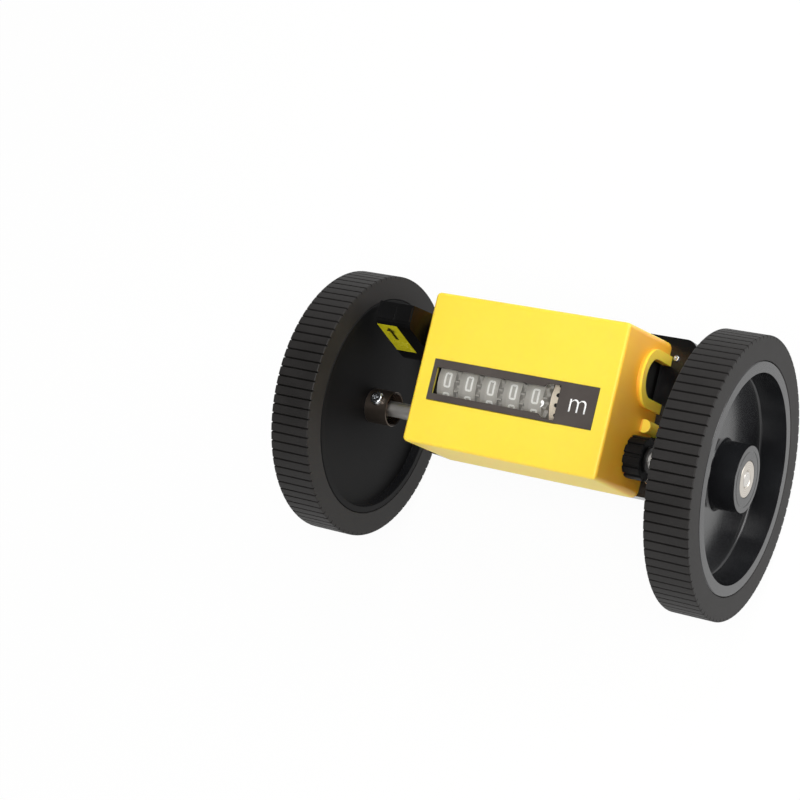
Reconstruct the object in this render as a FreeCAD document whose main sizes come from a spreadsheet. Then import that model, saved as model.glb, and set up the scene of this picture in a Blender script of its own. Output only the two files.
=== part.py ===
import FreeCAD, Part
import math
import os
import Sketcher
from FreeCAD import Placement, Rotation, Vector

# A length counter for cable: two rubber-tyred wheels, each a third of a metre round, turn one
# steel axle through a yellow housing, and a gear train inside turns six number wheels behind a
# window. X runs along the axle, Y up the window face, Z out of that face. Z is 0 on the back of
# the base, where the counter is screwed down.

DRIVING_SIZES = {
    "metre": 1000,
    "turns_per_metre": 3,
    "wheel_width": 17,
    "wheel_right_stand_off": 30.25,
    "wheel_left_stand_off": 27.25,
    "tyre_thickness": 9.25,
    "tread_grooves": 90,
    "tread_groove_width": 1.2,
    "tread_groove_depth": 1.3,
    "rim_lip": 4.4,
    "rim_inner_lip": 2.6,
    "web_recess_outside": 10.5,
    "web_recess_inside": 3.5,
    "hub_wall": 5.5,
    "insert_wall": 3.85,
    "axle_radius": 3.15,
    "axle_up": -16.5,
    "axle_out": 30,
    "collar_length": 10,
    "collar_screw_angle": 19,
    "collar_screw_radius": 2.75,
    "collar_screw_proud": 1.8,
    "cover_half_height": 29.6,
    "cover_back": 15.5,
    "cover_front": 55.5,
    "cover_flare": 1.25,
    "cover_wall": 2,
    "cover_face_wall": 2.4,
    "cover_corner": 3,
    "cover_edge": 1.2,
    "cutout_half_height": 7.6,
    "cutout_past_lever_axis": 8.2,
    "ridge_width": 3.8,
    "ridge_height": 1.3,
    "boss_radius": 2.6,
    "boss_offset": 1,
    "boss_screw_radius": 1.4,
    "boss_screw_grip": 8,
    "boss_hole_tip": 1,
    "boss_up": -4,
    "boss_length": 12,
    "bezel_side_margin": 6.25,
    "bezel_low_margin": 2.5,
    "bezel_high_margin": 3.1,
    "bezel_thickness": 0.9,
    "bezel_proud": 0.2,
    "window_below_axis": 6.4,
    "window_above_axis": 3.9,
    "window_left_margin": 4.3,
    "window_step_from_units": 3.8,
    "window_shows_tenths": 3.2,
    "window_step_rise": 1.5,
    "lens_thickness": 1,
    "lens_margin": 1.2,
    "lens_ledge": 0.8,
    "window_seat_gap": 0.1,
    "number_axis_up": -3.2,
    "drum_gap": 0.5,
    "number_shaft_radius": 2,
    "number_hub_radius": 4,
    "band_width": 6.2,
    "band_radius": 12.4,
    "tenths_band_width": 8.2,
    "carry_gear_width": 1.6,
    "carry_rim_width": 1.4,
    "carry_rim_step": 0.6,
    "carry_notch_depth": 1,
    "carry_wheel_gap": 0.3,
    "band_over_teeth": 0.52,
    "carry_gear_teeth": 20,
    "carry_pinion_teeth": 8,
    "carry_pressure_angle": 30,
    "carry_backlash": 0.16,
    "pinion_shaft_radius": 1.5,
    "pinion_side_gap": 0.15,
    "pinion_thinner": 0.1,
    "pinion_collar_radius": 2.6,
    "pinion_collar_width": 1.4,
    "train_module": 0.7,
    "train_pressure_angle": 20,
    "train_backlash": 0.12,
    "tooth_addendum": 0.8,
    "tooth_root_clearance": 0.25,
    "axle_gear_teeth": 14,
    "idler_large_teeth": 28,
    "idler_small_teeth": 16,
    "tenths_gear_teeth": 24,
    "train_gear_width": 2,
    "tenths_rim_gap": 1.4,
    "tenths_hub_length": 2.1,
    "idler_neck_length": 0.8,
    "idler_neck_radius": 4.4,
    "idler_spacer_length": 4.5,
    "idler_spacer_radius": 3.6,
    "idler_clip_width": 0.8,
    "drive_hub_length": 3,
    "drive_hub_radius": 4.6,
    "train_right_gap": 1.5,
    "drums_left_gap": 3.7,
    "cut_past": 1,
    "running_clearance": 0.05,
    "loose_clearance": 0.3,
    "plate_clearance": 0.35,
    "plate_thickness": 1.5,
    "plate_foot": 9,
    "plate_end_gap": 1.1,
    "plate_front_gap": 2.1,
    "plate_top_slope": 17,
    "plate_top_setback": 6.5,
    "plate_low_slope": 11,
    "plate_low_setback": 14.5,
    "tray_side_gap": 0.6,
    "tie_rod_radius": 2.5,
    "top_rod_from_end": 5.5,
    "top_rod_from_face": 11.5,
    "low_rod_from_end": 4.5,
    "low_rod_from_floor": 9,
    "ear_width": 10.5,
    "ear_screw_radius": 1.2,
    "ear_screw_height": 0.9,
    "ear_screw_from_cover": 2.9,
    "ear_screw_from_top": 8,
    "ear_screw_from_bottom": 6.35,
    "base_top_ledge": 2.15,
    "base_bottom_inset": 1,
    "base_floor": 4,
    "base_corner": 5,
    "back_hole_radius": 2.1,
    "back_holes_across": 40,
    "back_holes_tall": 36,
    "bush_wall": 1.85,
    "bush_reach": 7.95,
    "nut_wall": 3.3,
    "nut_flutes": 12,
    "nut_flute_width": 2.2,
    "nut_flute_depth": 0.8,
    "washer_thickness": 1,
    "lever_stand_off": 7.75,
    "lever_width": 15.5,
    "lever_cap": 2,
    "lever_axis_up": 14,
    "lever_axis_out": 28,
    "lever_round_radius": 8.9,
    "lever_hub_radius": 6,
    "lever_slope": 17.5,
    "lever_past_cover": 1.2,
    "lever_edge_out": 0.9,
    "lever_edge_up": 1.2,
    "lever_top": 8.4,
    "lever_shoulder": 0.5,
    "pad_height": 0.8,
    "pad_low": 1.6,
    "pad_high": 7.2,
    "pad_inner_width": 6.5,
    "pad_groove": 0.8,
    "pad_inner_margin": 0.3,
    "pad_outer_margin": 0.7,
    "label_width": 9,
    "label_length": 21,
    "label_thickness": 0.15,
    "label_margin": 0.2,
    "label_from_axis": 5,
    "reset_shaft_radius": 2.5,
    "hammer_tube_radius": 4,
    "hammer_tube_end_gap": 1.4,
    "hammer_tube_past_drums": 2.5,
    "hammer_width": 3,
    "hammer_thickness": 1.8,
    "hammer_gap": 1.3,
}

DECADES = ("units", "tens", "hundreds", "thousands", "ten_thousands")


class Size:
    """A number together with the sheet formula that gives it."""

    def __init__(self, number, formula):
        self.number = number
        self.formula = formula

    def join(self, other, sign, number):
        return Size(number, "(%s %s %s)" % (self.formula, sign, sized(other).formula))

    def __add__(self, other):
        return self.join(other, "+", self.number + sized(other).number)

    def __sub__(self, other):
        return self.join(other, "-", self.number - sized(other).number)

    def __mul__(self, other):
        return self.join(other, "*", self.number * sized(other).number)

    def __truediv__(self, other):
        return self.join(other, "/", self.number / sized(other).number)

    def __radd__(self, other):
        return sized(other) + self

    def __rsub__(self, other):
        return sized(other) - self

    def __rmul__(self, other):
        return sized(other) * self

    def __neg__(self):
        return Size(-self.number, "(0 - %s)" % self.formula)


def sized(thing):
    """A plain number is a size with a formula of its own."""
    return thing if isinstance(thing, Size) else Size(float(thing), repr(float(thing)))


def root(size):
    return Size(math.sqrt(size.number), "sqrt(%s)" % size.formula)


def cosine(size):
    return Size(math.cos(math.radians(size.number)), "cos(%s * 1 deg)" % size.formula)


def sine(size):
    return Size(math.sin(math.radians(size.number)), "sin(%s * 1 deg)" % size.formula)


def slope_angle(size):
    """The angle, in degrees, whose tangent is the given size."""
    return Size(math.degrees(math.atan(size.number)), "(atan(%s) / 1 deg)" % size.formula)


def smaller(first, second):
    number = min(first.number, second.number)
    return Size(number, "min(%s; %s)" % (first.formula, second.formula))


doc = FreeCAD.newDocument("cable_length_counter")
sheet = doc.addObject("Spreadsheet::Sheet", "Sizes")
for row, (alias, number) in enumerate(DRIVING_SIZES.items(), start=1):
    sheet.set("A%d" % row, alias.replace("_", " "))
    sheet.set("B%d" % row, str(number))
    sheet.setAlias("B%d" % row, alias)
doc.recompute()

subparts = []


def read(alias):
    """A driving size, as its number in the sheet and the formula that reads it."""
    return Size(float(sheet.get(alias)), "Sizes." + alias)


def bind(thing, prop, size):
    thing.setExpression(prop, sized(size).formula)


def place(thing, along=0, up=0, out=0):
    """Puts an object's own origin at a point given along X, Y and Z."""
    for axis, size in (("x", along), ("y", up), ("z", out)):
        bind(thing, "Placement.Base." + axis, size)


def new_body(label, along=0, up=0, out=0):
    body = doc.addObject("PartDesign::Body", label)
    body.Label = label
    place(body, along, up, out)
    subparts.append(body)
    return body


def origin_part(body, role):
    return next(part for part in body.Origin.OriginFeatures if part.Role == role)


def new_sketch(body, plane, lift=0):
    """A sketch on one of the body's own planes, moved out along that plane's normal."""
    sketch = body.newObject("Sketcher::SketchObject", body.Label + "_sketch")
    sketch.AttachmentSupport = (origin_part(body, plane), [""])
    sketch.MapMode = "FlatFace"
    bind(sketch, "AttachmentOffset.Base.z", lift)
    return sketch


def pin(sketch, edge, end, x, y):
    """Fixes one point of the sketch at a place that the sheet gives."""
    for way, size in (("DistanceX", sized(x)), ("DistanceY", sized(y))):
        if size.number == 0 and way == "DistanceX":
            sketch.addConstraint(Sketcher.Constraint("PointOnObject", edge, end, -2))
        elif size.number == 0:
            sketch.addConstraint(Sketcher.Constraint("PointOnObject", edge, end, -1))
        else:
            index = sketch.addConstraint(Sketcher.Constraint(way, -1, 1, edge, end, size.number))
            bind(sketch, "Constraints[%d]" % index, size)


def polygon(sketch, corners):
    """A closed outline of straight edges through corners given as pairs of sizes."""
    first = sketch.GeometryCount
    points = [Vector(sized(x).number, sized(y).number, 0) for x, y in corners]
    for start, end in zip(points, points[1:] + points[:1]):
        sketch.addGeometry(Part.LineSegment(start, end))
    for index, (x, y) in enumerate(corners):
        after = first + (index + 1) % len(corners)
        sketch.addConstraint(Sketcher.Constraint("Coincident", first + index, 2, after, 1))
        pin(sketch, first + index, 1, x, y)
    return sketch


def rectangle(sketch, left, right, low, high):
    return polygon(sketch, [(left, low), (right, low), (right, high), (left, high)])


def rounded_rectangle(sketch, half_width, half_height, radius):
    """A rectangle about the origin whose corners are quarter circles."""
    near_x, near_y = half_width - radius, half_height - radius
    sides = [((half_width, -near_y), (half_width, near_y)),
             ((near_x, half_height), (-near_x, half_height)),
             ((-half_width, near_y), (-half_width, -near_y)),
             ((-near_x, -half_height), (near_x, -half_height))]
    ways = [(1, 1), (-1, 1), (-1, -1), (1, -1)]
    first = sketch.GeometryCount
    for index, ends in enumerate(sides):
        sketch.addGeometry(Part.LineSegment(*[Vector(x.number, y.number, 0) for x, y in ends]))
        for end, (x, y) in enumerate(ends, start=1):
            pin(sketch, first + index, end, x, y)
    for index, (way_x, way_y) in enumerate(ways):
        after = (index + 1) % len(sides)
        start, end = [Vector(x.number, y.number, 0) for x, y in (sides[index][1], sides[after][0])]
        bulge = radius.number * math.sqrt(0.5)
        middle = Vector(way_x * (near_x.number + bulge), way_y * (near_y.number + bulge), 0)
        arc = sketch.addGeometry(Part.Arc(start, middle, end))
        sketch.addConstraint(Sketcher.Constraint("Coincident", arc, 1, first + index, 2))
        sketch.addConstraint(Sketcher.Constraint("Coincident", arc, 2, first + after, 1))
        bend = sketch.addConstraint(Sketcher.Constraint("Radius", arc, radius.number))
        bind(sketch, "Constraints[%d]" % bend, radius)
    return sketch


def circle(sketch, x, y, radius):
    size = sized(radius)
    centre = Vector(sized(x).number, sized(y).number, 0)
    edge = sketch.addGeometry(Part.Circle(centre, Vector(0, 0, 1), size.number))
    pin(sketch, edge, 3, x, y)
    index = sketch.addConstraint(Sketcher.Constraint("Radius", edge, size.number))
    bind(sketch, "Constraints[%d]" % index, size)
    return sketch


def pad(body, sketch, length, taper=None):
    """Grows the sketch along its plane's normal."""
    feature = body.newObject("PartDesign::Pad", body.Label + "_pad")
    feature.Profile = sketch
    bind(feature, "Length", length)
    if taper is not None:
        bind(feature, "TaperAngle", taper)
    return feature


def pocket(body, sketch, depth, along_normal=True, taper=None):
    """Cuts the sketch out of the body and checks that something was cut."""
    doc.recompute()
    before = body.Shape.Volume
    feature = body.newObject("PartDesign::Pocket", body.Label + "_pocket")
    feature.Profile = sketch
    feature.Reversed = along_normal
    bind(feature, "Length", depth)
    if taper is not None:
        bind(feature, "TaperAngle", taper)
    doc.recompute()
    if not body.Shape.Volume < before:
        raise RuntimeError("%s: a pocket cuts nothing, %s" % (body.Label, feature.State))
    return feature


def revolve(body, sketch):
    """Turns the sketch about the body's own X axis."""
    feature = body.newObject("PartDesign::Revolution", body.Label + "_revolution")
    feature.Profile = sketch
    feature.ReferenceAxis = (sketch, ["H_Axis"])
    feature.Angle = 360
    return feature


def repeat_round(body, feature, count):
    """Repeats a feature evenly about the body's own X axis."""
    pattern = body.newObject("PartDesign::PolarPattern", body.Label + "_pattern")
    pattern.Originals = [feature]
    pattern.Axis = (origin_part(body, "X_Axis"), [""])
    pattern.Angle = 360
    bind(pattern, "Occurrences", count)
    body.Tip = pattern
    return pattern


def turned(label, along, up, out, profile):
    """A body turned about an X axis through the given place, from a half profile."""
    body = new_body(label, along, up, out)
    revolve(body, polygon(new_sketch(body, "XY_Plane"), profile))
    return body


def tube_profile(left, right, inner, outer):
    return [(left, inner), (right, inner), (right, outer), (left, outer)]


def rod(label, left, right, radius, up, out):
    return turned(label, 0, up, out, tube_profile(left, right, 0, radius))


def sleeve(label, left, right, inner, outer, up, out):
    return turned(label, 0, up, out, tube_profile(left, right, inner, outer))


def cylinder(radius, length, along, up, out, axis="z"):
    """A plain cylinder that starts at the given place and runs along X or Z."""
    thing = doc.addObject("Part::Cylinder", "cylinder")
    bind(thing, "Radius", radius)
    bind(thing, "Height", length)
    if axis == "x":
        thing.Placement = Placement(Vector(0, 0, 0), Rotation(Vector(0, 1, 0), 90))
    place(thing, along, up, out)
    return thing


def fused(pieces):
    joined = doc.addObject("Part::MultiFuse", "fused")
    joined.Shapes = pieces
    return joined


def group(label, pieces):
    """Several separate solids of the same kind under one name."""
    whole = doc.addObject("Part::Compound", label)
    whole.Label = label
    whole.Links = pieces
    subparts.append(whole)
    return whole


wheel_radius = read("metre") / read("turns_per_metre") / (2 * math.pi)
wheel_width = read("wheel_width")
tyre_bore = wheel_radius - read("tyre_thickness")
axle_up = read("axle_up")
axle_out = read("axle_out")
axle_radius = read("axle_radius")
insert_radius = axle_radius + read("insert_wall")
hub_radius = insert_radius + read("hub_wall")
bush_radius = axle_radius + read("bush_wall")
running = read("running_clearance")
loose = read("loose_clearance")
past = read("cut_past")

# The number train sets the width between the side plates, and they set the cover's width.
band_width = read("band_width")
band_radius = read("band_radius")
carry_gear_width = read("carry_gear_width")
carry_rim_width = read("carry_rim_width")
carry_teeth = read("carry_gear_teeth")
carry_module = (band_radius - read("band_over_teeth")) / (
    carry_teeth / 2 + read("tooth_addendum"))
train_module = read("train_module")
train_gear_width = read("train_gear_width")
digit_pitch = band_width + carry_gear_width + carry_rim_width + read("carry_wheel_gap")
drums_length = digit_pitch * (len(DECADES) - 1) + carry_rim_width + band_width
tenths_length = carry_gear_width + read("tenths_rim_gap") + carry_rim_width + read(
    "tenths_band_width") + read("tenths_hub_length")
train_length = train_gear_width * 2 + read("idler_neck_length") + read("idler_spacer_length")
plate_inner = (read("drums_left_gap") + drums_length + tenths_length + train_length
               + read("train_right_gap")) / 2
plate_outer = plate_inner + read("plate_thickness")
units_centre = read("drums_left_gap") + drums_length - band_width / 2 - plate_inner
tenths_left = units_centre + band_width / 2 + carry_gear_width + read(
    "tenths_rim_gap") + carry_rim_width
tenths_right = tenths_left + read("tenths_band_width")
tenths_gear_left = tenths_right + read("tenths_hub_length")
idler_large_left = tenths_gear_left + train_gear_width + read("idler_neck_length")
cover_half_width = plate_outer + read("plate_clearance") + read("cover_wall")
cover_back_half_width = cover_half_width + read("cover_flare")

cover_half_height = read("cover_half_height")
cover_back_half_height = cover_half_height + read("cover_flare")
plate_half_height = cover_half_height - read("cover_wall") - read("plate_end_gap")
cover_back = read("cover_back")
cover_front = read("cover_front")
inner_face = cover_front - read("cover_face_wall")
number_up = read("number_axis_up")
number_out = inner_face - read("drum_gap") - band_radius
pinion_up = number_up + carry_module * (carry_teeth + read("carry_pinion_teeth")) / 2

bush_end = cover_half_width + read("bush_reach")
lever_inner = cover_half_width + read("lever_stand_off")
lever_outer = lever_inner + read("lever_width")
lever_front = cover_front + read("lever_past_cover")
lever_up = read("lever_axis_up")
lever_out = read("lever_axis_out")
reset_radius = read("reset_shaft_radius")

window_left = units_centre - digit_pitch * (len(DECADES) - 1) - read("window_left_margin")
window_step = units_centre + read("window_step_from_units")
window_right = tenths_left + read("window_shows_tenths")
window_low = number_up - read("window_below_axis")
window_high = number_up + read("window_above_axis")

SIDES = (("left", -1), ("right", 1))


def wheel_inner(side):
    """Distance of a wheel's inner face from the middle of the housing."""
    return cover_half_width + read("wheel_%s_stand_off" % side)


# Rounded edges

def runs_along_depth(edge):
    """True of a straight edge that runs from the back of a body towards its front."""
    start, end = edge.Vertexes[0].Point, edge.Vertexes[-1].Point
    return math.isclose(abs(end.z - start.z), edge.Length)


def lies_on_face(height):
    """A test for straight and curved edges that all lie at one height above the base's back."""
    def test(edge):
        return all(abs(vertex.Point.z - height) < 1e-4 for vertex in edge.Vertexes)
    return test


def round_edges(body, radius, wanted):
    """Rounds the edges of the body's present shape that pass the test."""
    base = body.Tip
    names = ["Edge%d" % (index + 1) for index, edge in enumerate(base.Shape.Edges)
             if wanted(edge)]
    if not names:
        raise RuntimeError(body.Label + ": no edge to round")
    feature = body.newObject("PartDesign::Fillet", body.Label + "_fillet")
    feature.Base = (base, names)
    bind(feature, "Radius", radius)
    doc.recompute()
    return feature


# Wheels and axle

def side_profile(sign, profile):
    """A half profile drawn for the right side, mirrored for the left one."""
    return [(sign * x, y) for x, y in profile]


def build_tyre(side, sign):
    inner = wheel_inner(side)
    outer = inner + wheel_width
    tyre = turned("tyre_" + side, 0, axle_up, axle_out, side_profile(
        sign, tube_profile(inner, outer, tyre_bore, wheel_radius)))
    half = read("tread_groove_width") / 2
    start = inner if sign > 0 else -outer
    groove = polygon(new_sketch(tyre, "YZ_Plane", start), [
        (0, wheel_radius - read("tread_groove_depth")), (half, wheel_radius),
        (half, wheel_radius + past), (-half, wheel_radius + past), (-half, wheel_radius)])
    cut = pocket(tyre, groove, wheel_width)
    repeat_round(tyre, cut, read("tread_grooves"))


def build_wheel(side, sign):
    """Rim, web and hub moulded in one, open on both sides round the hub."""
    inner = wheel_inner(side)
    outer = inner + wheel_width
    web_in = inner + read("web_recess_inside")
    web_out = outer - read("web_recess_outside")
    recess = tyre_bore - read("rim_lip")
    inner_recess = tyre_bore - read("rim_inner_lip")
    turned("wheel_" + side, 0, axle_up, axle_out, side_profile(sign, [
        (web_in, insert_radius), (outer, insert_radius), (outer, hub_radius),
        (web_out, hub_radius), (web_out, recess), (outer, recess), (outer, tyre_bore),
        (inner, tyre_bore), (inner, inner_recess), (web_in, inner_recess)]))


def build_hub_insert(side, sign):
    inner = wheel_inner(side) + read("web_recess_inside")
    outer = wheel_inner(side) + wheel_width
    turned("hub_insert_" + side, 0, axle_up, axle_out, side_profile(
        sign, tube_profile(inner, outer, axle_radius, insert_radius)))


def build_shaft_collar(side, sign):
    """A metal collar against the hub, tapped right through one wall for its radial screw."""
    outer = wheel_inner(side) + read("web_recess_inside")
    inner = outer - read("collar_length")
    start = inner if sign > 0 else -outer
    blank = cylinder(insert_radius, read("collar_length"), start, axle_up, axle_out, "x")
    bore = cylinder(axle_radius, read("collar_length"), start, axle_up, axle_out, "x")
    tapped = radial(read("collar_screw_radius"), insert_radius + past,
                    collar_screw_along(side, sign), 0)
    collar = doc.addObject("Part::Cut", "shaft_collar_" + side)
    collar.Label = "shaft_collar_" + side
    collar.Base = blank
    collar.Tool = fused([bore, tapped])
    subparts.append(collar)


def collar_screw_along(side, sign):
    """The screw stands in the middle of the collar's length."""
    return sign * (wheel_inner(side) + read("web_recess_inside") - read("collar_length") / 2)


def radial(radius, length, along, seat):
    """A cylinder that runs outward from the axle at the angle of the collar screws."""
    angle = read("collar_screw_angle")
    thing = doc.addObject("Part::Cylinder", "radial")
    bind(thing, "Radius", radius)
    bind(thing, "Height", length)
    thing.Placement = Placement(Vector(0, 0, 0), Rotation(Vector(1, 0, 0), -angle.number))
    place(thing, along, axle_up + seat * sine(angle), axle_out + seat * cosine(angle))
    return thing


def build_axle():
    left = -(wheel_inner("left") + wheel_width)
    right = wheel_inner("right") + wheel_width
    rod("main_shaft", left, right, axle_radius, axle_up, axle_out)
    for side, sign in SIDES:
        build_tyre(side, sign)
        build_wheel(side, sign)
        build_hub_insert(side, sign)
        build_shaft_collar(side, sign)


def build_collar_screws():
    """One radial screw in each collar, its point on the axle and its head proud of the collar."""
    length = insert_radius + read("collar_screw_proud") - axle_radius
    group("collar_screws", [
        radial(read("collar_screw_radius"), length, collar_screw_along(side, sign), axle_radius)
        for side, sign in SIDES])


def build_washers():
    near = bush_end + loose
    far = near + read("washer_thickness")
    for side, sign in SIDES:
        turned("thrust_washer_" + side, 0, axle_up, axle_out, side_profile(
            sign, tube_profile(near, far, axle_radius, bush_radius)))


# Toothed parts

def involute_roll(base_radius, radius):
    """How far the involute of a circle has turned by the time it reaches the given radius."""
    pressure = math.acos(min(1, base_radius / radius))
    return math.tan(pressure) - pressure


def polar(radius, angle):
    return Vector(0, radius * math.sin(angle), radius * math.cos(angle))


def gear_face(teeth, module, pressure_angle, backlash, turn):
    """A gear's outline across X; each flank runs straight from the involute's foot to its tip."""
    addendum = read("tooth_addendum").number
    pitch_radius = teeth * module / 2
    base_radius = pitch_radius * math.cos(math.radians(pressure_angle))
    tip_radius = pitch_radius + addendum * module
    root_radius = pitch_radius - (addendum + read("tooth_root_clearance").number) * module
    half_tooth = (math.pi * module / 2 - backlash) / (2 * pitch_radius)
    half_base = half_tooth + involute_roll(base_radius, pitch_radius)
    half_foot = half_base - involute_roll(base_radius, max(base_radius, root_radius))
    half_tip = half_base - involute_roll(base_radius, tip_radius)
    corners = []
    for tooth in range(teeth):
        centre = math.radians(turn) + 2 * math.pi * tooth / teeth
        corners += [polar(root_radius, centre - half_foot), polar(tip_radius, centre - half_tip),
                    polar(tip_radius, centre + half_tip), polar(root_radius, centre + half_foot)]
    return Part.Face(Part.makePolygon(corners + corners[:1]))


def gear_solid(face, left, width):
    solid = face.extrude(Vector(width, 0, 0))
    solid.translate(Vector(left, 0, 0))
    return solid


def ring_solid(left, width, inner, outer):
    ring = Part.makeCylinder(outer, width, Vector(left, 0, 0), Vector(1, 0, 0))
    hole = Part.makeCylinder(inner, width, Vector(left, 0, 0), Vector(1, 0, 0))
    return ring.cut(hole)


def toothed_part(label, shape, up, out):
    part = doc.addObject("Part::Feature", label)
    part.Label = label
    part.Shape = shape.removeSplitter()
    place(part, 0, up, out)
    subparts.append(part)
    return part


def train_face(alias, turn):
    return gear_face(int(read(alias).number), train_module.number,
                     read("train_pressure_angle").number, read("train_backlash").number, turn)


def idler_place():
    """Where the idler's axis lies, so that both of its meshes are at their true distance."""
    to_axle = train_module * (read("axle_gear_teeth") + read("idler_large_teeth")) / 2
    to_number = train_module * (read("idler_small_teeth") + read("tenths_gear_teeth")) / 2
    rise_up = number_up - axle_up
    rise_out = number_out - axle_out
    span = root(rise_up * rise_up + rise_out * rise_out)
    foot = (to_axle * to_axle - to_number * to_number + span * span) / (2 * span)
    offset = root(to_axle * to_axle - foot * foot)
    up = axle_up + (foot * rise_up + offset * rise_out) / span
    out = axle_out + (foot * rise_out - offset * rise_up) / span
    return up, out


def bearing_to(up_from, out_from, up_to, out_to):
    """Angle, from +Z towards +Y, of the line from one axis to another, in degrees."""
    up = up_to.number - up_from.number
    out = out_to.number - out_from.number
    return math.degrees(math.atan2(up, out))


def facing_gap(teeth, angle):
    """The turn that puts the middle of a gear's tooth gap at the given angle."""
    return angle + 180.0 / teeth


def build_gear_train():
    """The axle's gear, the two idler gears in one piece, and the pin they turn on."""
    idler_up, idler_out = idler_place()
    width = train_gear_width.number
    large_left = idler_large_left.number
    small_left = tenths_gear_left.number
    to_idler = bearing_to(axle_up, axle_out, idler_up, idler_out)
    idler_to_number = bearing_to(idler_up, idler_out, number_up, number_out)
    axle_gear = gear_solid(train_face("axle_gear_teeth", to_idler), large_left, width)
    hub_length = read("drive_hub_length").number
    hub = ring_solid(large_left + width, hub_length, axle_radius.number,
                     read("drive_hub_radius").number)
    bore = rod_solid(large_left, large_left + width + hub_length, axle_radius.number)
    toothed_part("drive_gear", axle_gear.fuse(hub).cut(bore), axle_up, axle_out)
    large_teeth = int(read("idler_large_teeth").number)
    large = gear_solid(train_face("idler_large_teeth", facing_gap(large_teeth, to_idler + 180)),
                       large_left, width)
    small = gear_solid(train_face("idler_small_teeth", idler_to_number), small_left, width)
    neck = rod_solid(small_left + width, large_left, read("idler_neck_radius").number)
    spacer_end = large_left + width + read("idler_spacer_length").number
    spacer = rod_solid(large_left + width, spacer_end, read("idler_spacer_radius").number)
    pin_bore = rod_solid(small_left, spacer_end, number_shaft_bore())
    cluster = large.fuse([small, neck, spacer]).cut(pin_bore)
    toothed_part("idler_gears", cluster, idler_up, idler_out)
    pin_end = tenths_right + 2 * loose
    clip = pin_end + loose
    rod("idler_pin", pin_end, plate_outer, read("number_shaft_radius"), idler_up, idler_out)
    sleeve("idler_clip", clip, clip + read("idler_clip_width"), read("number_shaft_radius"),
           read("idler_spacer_radius"), idler_up, idler_out)
    return idler_to_number + 180


def rod_solid(left, right, radius):
    return Part.makeCylinder(radius, right - left, Vector(left, 0, 0), Vector(1, 0, 0))


def number_shaft_bore():
    return (read("number_shaft_radius") + running).number


def carry_face(teeth, turn):
    return gear_face(teeth, carry_module.number, read("carry_pressure_angle").number,
                     read("carry_backlash").number, turn)


def number_band(left, width, hub_length):
    """A number wheel's band, its hub, and the locking rim with a two-tooth notch."""
    rim_left = left - carry_rim_width.number
    rim_radius = (band_radius - read("carry_rim_step")).number
    depth = read("carry_notch_depth").number
    band = rod_solid(left, left + width, band_radius.number)
    rim = rod_solid(rim_left, left, rim_radius)
    hub = rod_solid(left, left + hub_length, read("number_hub_radius").number)
    solid = band.fuse([rim, hub])
    half_pitch = math.pi / carry_teeth.number
    for centre in (math.pi - half_pitch, math.pi + half_pitch):
        corners = [polar(rim_radius - depth, centre),
                   polar(rim_radius + depth, centre - half_pitch),
                   polar(rim_radius + depth, centre + half_pitch)]
        notch = Part.Face(Part.makePolygon(corners + corners[:1]))
        solid = solid.cut(gear_solid(notch, rim_left, left - rim_left))
    return solid


def number_wheel_centres():
    """Centres of the whole-metre wheels along X, from units to ten-thousands."""
    return [units_centre - digit_pitch * index for index in range(len(DECADES))]


def build_number_wheels(tenths_turn):
    width = band_width.number
    gear_width = carry_gear_width.number
    bore = rod_solid(-plate_inner.number, plate_inner.number, number_shaft_bore())
    for name, centre in zip(DECADES, number_wheel_centres()):
        left = centre.number - width / 2
        solid = number_band(left, width, width + gear_width)
        gear = gear_solid(carry_face(int(carry_teeth.number), 90), left + width, gear_width)
        toothed_part("number_wheel_" + name, solid.fuse(gear).cut(bore), number_up, number_out)
    tenths = number_band(tenths_left.number, read("tenths_band_width").number,
                         (tenths_gear_left - tenths_left).number)
    teeth = int(read("tenths_gear_teeth").number)
    face = train_face("tenths_gear_teeth", facing_gap(teeth, tenths_turn))
    gear = gear_solid(face, tenths_gear_left.number, train_gear_width.number)
    toothed_part("number_wheel_tenths", tenths.fuse(gear).cut(bore), number_up, number_out)


def build_carry_pinions():
    """One small gear above each gap between number wheels, on a shaft of its own."""
    teeth = int(read("carry_pinion_teeth").number)
    shaft_radius = read("pinion_shaft_radius")
    bore = rod_solid(-plate_inner.number, plate_inner.number, (shaft_radius + running).number)
    gear_width = (carry_gear_width - read("pinion_thinner")).number
    collar_width = read("pinion_collar_width").number
    for name, centre in zip(DECADES, number_wheel_centres()):
        left = (centre + band_width / 2 + read("pinion_side_gap")).number
        gear = gear_solid(carry_face(teeth, facing_gap(teeth, -90)), left, gear_width)
        collar = rod_solid(left + gear_width, left + gear_width + collar_width,
                           read("pinion_collar_radius").number)
        toothed_part("carry_pinion_" + name, gear.fuse(collar).cut(bore), pinion_up, number_out)
    rod("pinion_shaft", -plate_outer, plate_outer, shaft_radius, pinion_up, number_out)


def build_number_shaft():
    rod("number_shaft", -plate_outer, plate_outer, read("number_shaft_radius"),
        number_up, number_out)


# Housing

def build_cover_shell():
    """Yellow moulded cover, wider at the back, with a wall cut-out and ridge on each side."""
    depth = cover_front - cover_back
    slope = slope_angle(read("cover_flare") / depth)
    wall = read("cover_wall")
    cover = new_body("cover_shell")
    wide = cover_back_half_width
    tall = cover_back_half_height
    outer = rounded_rectangle(new_sketch(cover, "XY_Plane", cover_back), wide, tall,
                              read("cover_corner"))
    pad(cover, outer, depth, taper=-slope)
    doc.recompute()
    round_edges(cover, read("cover_edge"), lies_on_face(cover_front.number))
    inner = rectangle(new_sketch(cover, "XY_Plane", cover_back), wall - wide, wide - wall,
                      wall - tall, tall - wall)
    pocket(cover, inner, depth - read("cover_face_wall"), taper=-slope)
    for side, sign in SIDES:
        add_side_ridge(cover, sign)
        add_screw_boss(cover, sign)
    cut_side_openings(cover)
    cut_window(cover)
    return cover


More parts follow.
